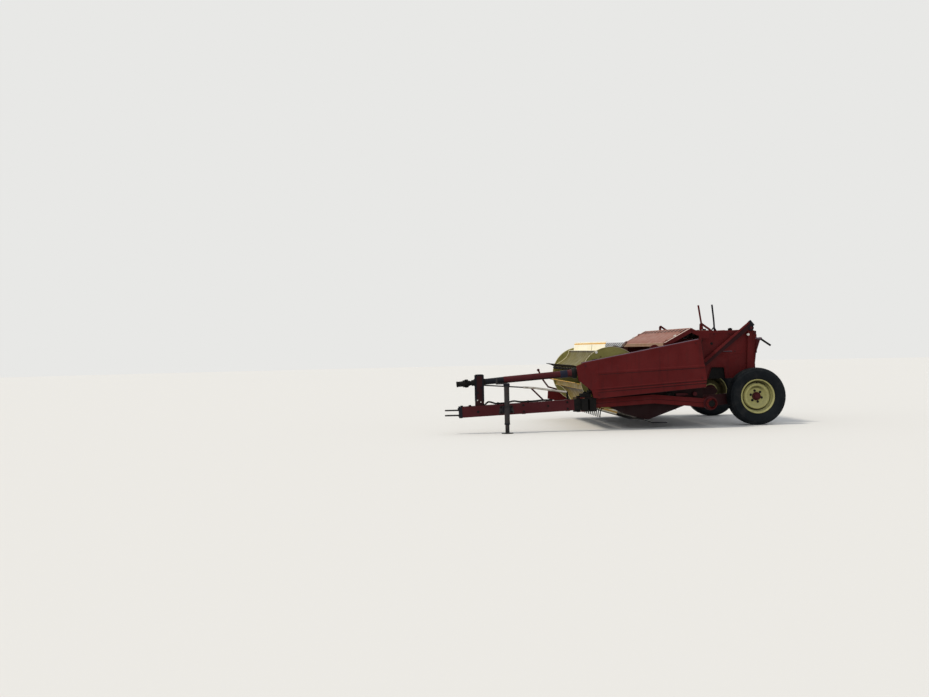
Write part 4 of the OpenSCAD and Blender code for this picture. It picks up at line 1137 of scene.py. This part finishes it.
def make_axle_trim():
    """End rings, bearing rings, grease nipples, welds and the spindles' collars on the axle."""
    low, high = box("axle_pipe")
    piece = Piece()
    for side in (-1, 1):
        end = high.x if side > 0 else low.x
        piece.use("red")
        piece.lathe([(-6, 60), (-6, 68), (0, 68), (0, 43), (-14, 43), (-14, 60)], (end, PIPE.y, PIPE.z), (side, 0, 0),
                    40)
        # A dark disc in each pipe end paints the shade inside its bore.
        piece.use("greasy").disc((end - side * 15, PIPE.y, PIPE.z), (side, 0, 0), 43, 4, 32)
        beam = side * (SHEET_OUT + 70)
        piece.use("red_dark")
        piece.lathe([(0, 62.8), (0, 86), (10, 86), (14, 74), (14, 62.8)], (beam, PIPE.y, PIPE.z), (side, 0, 0), 40)
        piece.use("cast").disc((beam - side * 30, PIPE.y - 84, PIPE.z), (0, -1, 0.3), 5, 14, 8)
        piece.use("red_grime_and_shade")
        # The wheel arm's outer face, beside the tyre, and its weld, in darker red as painted shade
        arm = side * (abs(WHEEL["left"].x) - 140)
        weld = [TAU * (0.3 + 0.4 * k / 14) for k in range(15)]
        piece.tube([(arm, PIPE.y + 84 * math.cos(a), PIPE.z + 84 * math.sin(a)) for a in weld], 4, 6)
        piece.lathe([(0, 24.6), (0, 38), (16, 34), (20, 24.6)], (arm, 0, WHEEL["left"].z), (side, 0, 0), 32)
    piece.done("axle_trim", "axle", "red_paint", sharp=40)


def make_beam_trim():
    """A rolled ledge along each side beam's outer face, and the greasy parts that hold the tongue's pin."""
    piece = Piece().use("red")
    ledge = [(0, 44), (8, 4), (8, 1), (0, -4), (-2, -4), (-2, 44)]
    for side, end in ((-1, (2196, 326)), (1, (1716, 300))):
        path = [(PIPE.y + 88, PIPE.z + 10), (1372, 369), end]
        for a, b in zip(path, path[1:]):
            fold(piece, a, b, ledge, side * (SHEET_OUT + 70), side)
    # Grease over the pin's two plates and their web, and the guard plate outside them
    plates, web = (239, 401), TONGUE_X - 66
    piece.use("greasy")
    for z in plates:
        piece.lathe([(-0.3, 60), (-0.3, 67.5), (12.3, 67.5), (12.3, 60)], (TONGUE_X, PIVOT.y, z), Z, 48)
    piece.block((web - 1.5, 2108, plates[0]), (web + 0.2, 2250, plates[1] + 12))
    piece.block((web - 31, 2196, 262), (web, 2212, 392))
    piece.block((web - 31, 2196, 250), (web - 28, 2292, 400))
    piece.done("side_beam_trim", "frame", "red_paint", sharp=40)


def make_lift():
    """End rings and hose ports on the lift cylinder's barrel."""
    top = Vector((1326, 683, 935))
    eye = Vector((1326, 480, 400))
    along = (eye - top).normalized()
    piece = Piece().use("black_paint")
    for start, end, r in ((34, 44, 33), (352, 380, 34)):
        piece.rod(top + along * start, top + along * end, r, 28)
    for at in (70, 330):
        port = top + along * at + Vector((0, -20, 8))
        piece.use("black_paint").rod(port, port + Vector((0, -22, 8)), 11, 14)
        piece.use("cast").rod(port + Vector((0, -18, 7)), port + Vector((0, -34, 12)), 8, 6)
    piece.done("lift_barrel_trim", "cylinder", "dark_steel", sharp=35)


# Tongue


def on_tongue(x, y, z):
    """A point by the tongue: across from its middle, forward along it, and up from its centre line."""
    turn = Matrix.Rotation(-TONGUE_SLOPE, 3, "X")
    return PIVOT + turn @ Vector((x, y - PIVOT.y, z))


def on_drive(along, across=0.0, up=0.0):
    """A point on the driveline: forward from its post, and off its centre line."""
    return DRIVE_POST + DRIVE_AHEAD * along + Vector((across, 0, 0)) + Vector((0, -DRIVE_AHEAD.z, DRIVE_AHEAD.y)) * up


def make_tongue_trim():
    """The tongue's black end band, collars, mounting plates, greasy end and bolts, and the hose on its top."""
    half, tall = TONGUE_HALF, 66
    piece = Piece()

    def slab(y0, y1, grow):
        wide, high = half + grow, tall + grow
        section = (-wide, -high), (wide, -high), (wide, high), (-wide, high)
        piece.rings([[on_tongue(x, y, z) for x, z in section] for y in (y0, y1)])

    piece.use("black_paint")
    slab(3754, 3793, 4)
    piece.use("red_dark")
    for y in (2440, 2980):
        slab(y, y + 46, 4)
    piece.use("dark_steel")
    plate = (3120, -48), (3310, -48), (3290, 48), (3140, 48)
    for side in (-1, 1):
        piece.rings([[on_tongue(side * (half + grow), y, z) for y, z in plate] for grow in (0, 7)])
    piece.use("greasy")
    slab(2259, 2380, 2)
    for side in (-1, 1):
        for y, z in [(2463, -40), (2463, 40), (3003, -40), (3003, 40), (3150, 30), (3280, 30), (3150, -32),
                     (3280, -32)]:
            piece.bolt(on_tongue(side * (half + 5), y, z), (side, 0, 0), 10)
        for z in (-42, 42):
            piece.bolt(on_tongue(side * 42, 3793, z), Y, 10)
    for y in (3755, 3655, 3480):
        piece.bolt(on_tongue(-half * 0.5, y, tall), Z, 16)
    piece.disc(on_tongue(-half - 1, 3560, -6), (-1, 0, 0), 15, 1.5, 20)
    piece.disc(on_tongue(-half - 1, 2700, 10), (-1, 0, 0), 12, 1.5, 20)
    piece.use("black_rubber_and_shade")
    hose = [on_tongue(x, y, tall + z) for x, y, z in (
        (-40, 3466, 12), (-38, 3430, 44), (-36, 3380, 30), (-34, 3340, 12), (-30, 3200, 12), (-36, 3120, 34),
        (-32, 3040, 14), (-24, 2860, 12), (-34, 2780, 18), (-30, 2640, 12))]
    piece.tube(rounded(hose, 40, 4), 11, 10)
    for y in (3300, 2930):
        piece.disc(on_tongue(-33, y, tall + 12), Y, 16, 22, 12)
    piece.done("tongue_trim", "tongue", "red_paint", sharp=40)


def make_drive_post():
    """The bearings on the stand post, its black edges and cap, its bolts and its rivets."""
    piece = Piece().use("greasy")
    for step in (-1, 1):
        piece.lathe([(0, 27.5), (0, 46), (8, 46), (12, 38), (22, 36), (22, 27.5)], on_drive(step * 54),
                    DRIVE_AHEAD * step, 32)
    low, high = box("drive_post")
    middle = (low + high) / 2
    piece.use("black_paint")
    for side in (-1, 1):
        x = middle.x + side * 28
        for y0, y1 in ((low.y - 2, low.y + 20), (high.y - 20, high.y + 2)):
            piece.block((x - 4, y0, low.z + 58), (x + 4, y1, high.z))
    piece.block((low.x - 3, low.y - 3, high.z - 6), (high.x + 3, high.y + 3, high.z + 3))
    piece.disc((middle.x, middle.y - 4, high.z), Z, 30, 13, 6)
    for y in (low.y + 14, high.y - 18):
        piece.bolt((middle.x, y, high.z + 2), Z, 10)
    for side in (-1, 1):
        for y, z in ((low.y + 34, high.z - 150), (high.y - 34, high.z - 210)):
            piece.bolt((middle.x + side * 30, y, z), (side, 0, 0), 9)
        piece.use("zinc")
        for y, z in [(3562, 407), (3522, 385)]:
            piece.disc((middle.x + side * 29, y, z), (side, 0, 0), 7, 5, 10)
        piece.use("black_paint")
    piece.done("drive_post_trim", "tongue", "red_paint", sharp=40)


def make_driveline():
    """The driveline: its guard tubes, sleeve and bell, the joint by the post, and the collar for the tractor."""
    back = -(DRIVE_POST - DRIVE_BACK).length

    def turn(look, profile, start=0.0):
        piece.use(look).lathe([(start + s, r) for s, r in profile], DRIVE_POST, DRIVE_AHEAD, 40)

    piece = Piece()
    turn("black_paint", [(-304, 30), (-304, 39), (-62, 36), (-62, 30)])
    turn("red_dark", [(200, 36), (200, 42), (-back - 300, 41), (-back - 300, 36)], back)
    turn("blue_rubber", [(128, 36), (128, 43), (132, 46), (214, 45.5), (218, 42), (218, 36)], back)
    turn("red_dark", [(72, 36), (72, 52), (84, 50), (98, 47), (104, 45), (130, 44.5), (130, 36)], back)
    turn("black_rubber_and_shade", [(20, 58), (20, 65), (44, 68), (58, 64), (66, 58), (78, 54), (78, 48), (58, 52)], back)
    turn("dark_steel", [(20, 0.5), (20, 22), (160, 22), (160, 0.5)], back)
    for s in (-1, 1):
        piece.rod(on_drive(back + 6, s * 25), on_drive(back + 46, s * 25), 9, 10)
    piece.rod(on_drive(back, -34), on_drive(back, 34), 9, 14)
    piece.rod(on_drive(back, 0, -34), on_drive(back, 0, 34), 9, 14)
    turn("greasy", [(-72, 1), (-72, 26.3), (111, 26.3), (111, 1)])
    turn("greasy", [(58, 26), (58, 36), (96, 36), (96, 26)])
    drive = piece.done("driveline_guarded", "tongue", "driveline_paint", sharp=38)
    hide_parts("driveline")

    piece = Piece()
    turn("greasy", [(112, 1), (112, 32), (130, 34), (134, 46), (142, 50), (150, 44), (150, 1)])
    for s in (-1, 1):
        piece.rod(on_drive(140, s * 30), on_drive(178, s * 31), 15, 12)
        piece.rod(on_drive(146, 0, s * 30), on_drive(200, 0, s * 28), 15, 12)
    piece.rod(on_drive(162, -50), on_drive(162, 50), 14, 18)
    piece.rod(on_drive(162, 0, -50), on_drive(162, 0, 50), 14, 18)
    turn("greasy", [(176, 0.5), (176, 38), (196, 34), (262, 32), (264, 36), (276, 36), (278, 32), (280, 30),
                    (280, 17.5), (211, 17.5), (211, 0.5)])
    yoke = piece.done("drive_yoke_crossed", "tongue", "dark_steel", sharp=38)
    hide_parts("drive_yoke")


def make_stay():
    """The stay beside the tongue: a bright bent bar on a greasy foot, its thin dark front end, and its red leg."""
    x = TONGUE_X + 54

    def at(y, z, aside=0.0):
        return Vector((x + aside, y, z))

    low, high = box("stay_rod")
    front = Vector((low.x + 8, high.y - 3, high.z - 8))
    bend = at(2860, 540)
    piece = Piece().use("bright_steel")
    piece.tube(rounded([at(2452, 480), bend, bend.lerp(front, 0.2)], 40), 13, 14)
    piece.use("greasy").rod(at(2440, 389.5), at(2452, 486), 13, 14)
    piece.disc(at(2440, 388.8), Z, 26, 6, 20)
    piece.use("black_paint").rod(bend.lerp(front, 0.17), front, 8, 12)
    piece.use("red_dark").rod(at(2900, 545), at(2740, 383, -8), 10, 12)
    piece.disc(at(2740, 380.5, -8), Z, 24, 6, 16)
    stay = piece.done("stay_rod_bent", "tongue", "dark_steel", sharp=38)
    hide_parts("stay_rod")


def make_jack():
    """The parking jack's gear head, collar and swivel plate."""
    swivel = anchor("jack_swing")
    piece = Piece().use("black_paint")
    piece.lathe([(578, 0.5), (578, 38), (584, 40), (606, 38), (612, 30), (614, 0.5)], JACK, Z, 32)
    piece.lathe([(108, 26), (108, 35), (124, 35), (126, 32), (126, 26)], JACK, Z, 32)
    piece.lathe([(0, 29), (0, 52), (9, 52), (12, 40), (12, 29)], (JACK.x + 31, swivel.y, swivel.z), X, 32)
    piece.use("cast")
    for spot in circle(JACK.x + 43, swivel.y, swivel.z, 42, 3):
        piece.disc(spot, X, 6, 6, 6)
    piece.done("jack_trim", "jack", "dark_steel", sharp=35)


def finish_cad():
    """Gives each CAD node its finish, and soft edges to the ones that are seen."""
    looks = {
        "red": "side_sheet_right side_beam_left side_beam_right windrow_panels reel_arms axle_pipe mast_post "
               "mast_strut control_levers drive_shield driveline",
        # The left side sheet darkens towards its bottom as painted shade.
        "red_low_shade": "side_sheet_left",
        "red_dark": "tongue_beam swath_gate divider_rod hub_left hub_right",
        # The wheel arms, back walls, top beam and drive post get the darker red of grime and painted shade.
        "red_grime_and_shade": "wheel_arms back_walls top_beam drive_post",
        "red_faded": "hood roof",
        "cream": "reel_bats",
        "olive": "reel_discs",
        "rim_cream": "rim_left rim_right",
        "dark_steel": "crop_floor cutterbar skid_shoes reel_shaft reel_tines hitch_clevis jack_leg jack_foot "
                      "reel_sheave drive_yoke",
        "cast": "gearbox",
        "greasy": "swing_latch pivot_pin",
        "black_paint": "lift_barrel",
        "bright_steel": "knife lift_rod stay_rod",
        "roll_rubber": "upper_roll lower_roll",
        "tyre_rubber": "tyre_left tyre_right",
    }
    # The width of the soft edges in millimetres
    soft = {
        1: "hood roof crop_floor swath_gate windrow_panels side_sheet_left side_sheet_right",
        1.5: "skid_shoes jack_foot",
        2: "axle_pipe reel_arms",
        3: "hitch_clevis swing_latch",
        4: "mast_post drive_post",
        5: "side_beam_left side_beam_right wheel_arms mast_strut",
        6: "top_beam",
        7: "tongue_beam",
    }
    for look, nodes in looks.items():
        for node in nodes.split():
            materials = frame["nodes"][node].data.materials
            materials.clear()
            materials.append(MATERIALS[look])
    for width, nodes in soft.items():
        for node in nodes.split():
            soften(frame["nodes"][node], width)


bpy.context.scene.view_settings.view_transform = "Standard"
make_camera()
make_stage()
make_light()
make_materials()
finish_cad()
for side, sign in (("left", -1), ("right", 1)):
    make_tyre(side)
    make_rim(side, sign)
make_bats()
make_discs()
make_tines()
make_roll("lower_roll", "roll_low", ROLL_LOW, 1)
make_roll("upper_roll", "roll_up", ROLL_UP, -1)
make_shield()
make_hood_trim()
make_roof_trim()
make_panels()
make_masts()
make_gate()
make_sheets()
make_cutterbar()
make_knife()
make_gearbox()
make_sheave()
make_levers()
make_axle_trim()
make_beam_trim()
make_lift()
make_tongue_trim()
make_drive_post()
make_driveline()
make_stay()
make_jack()
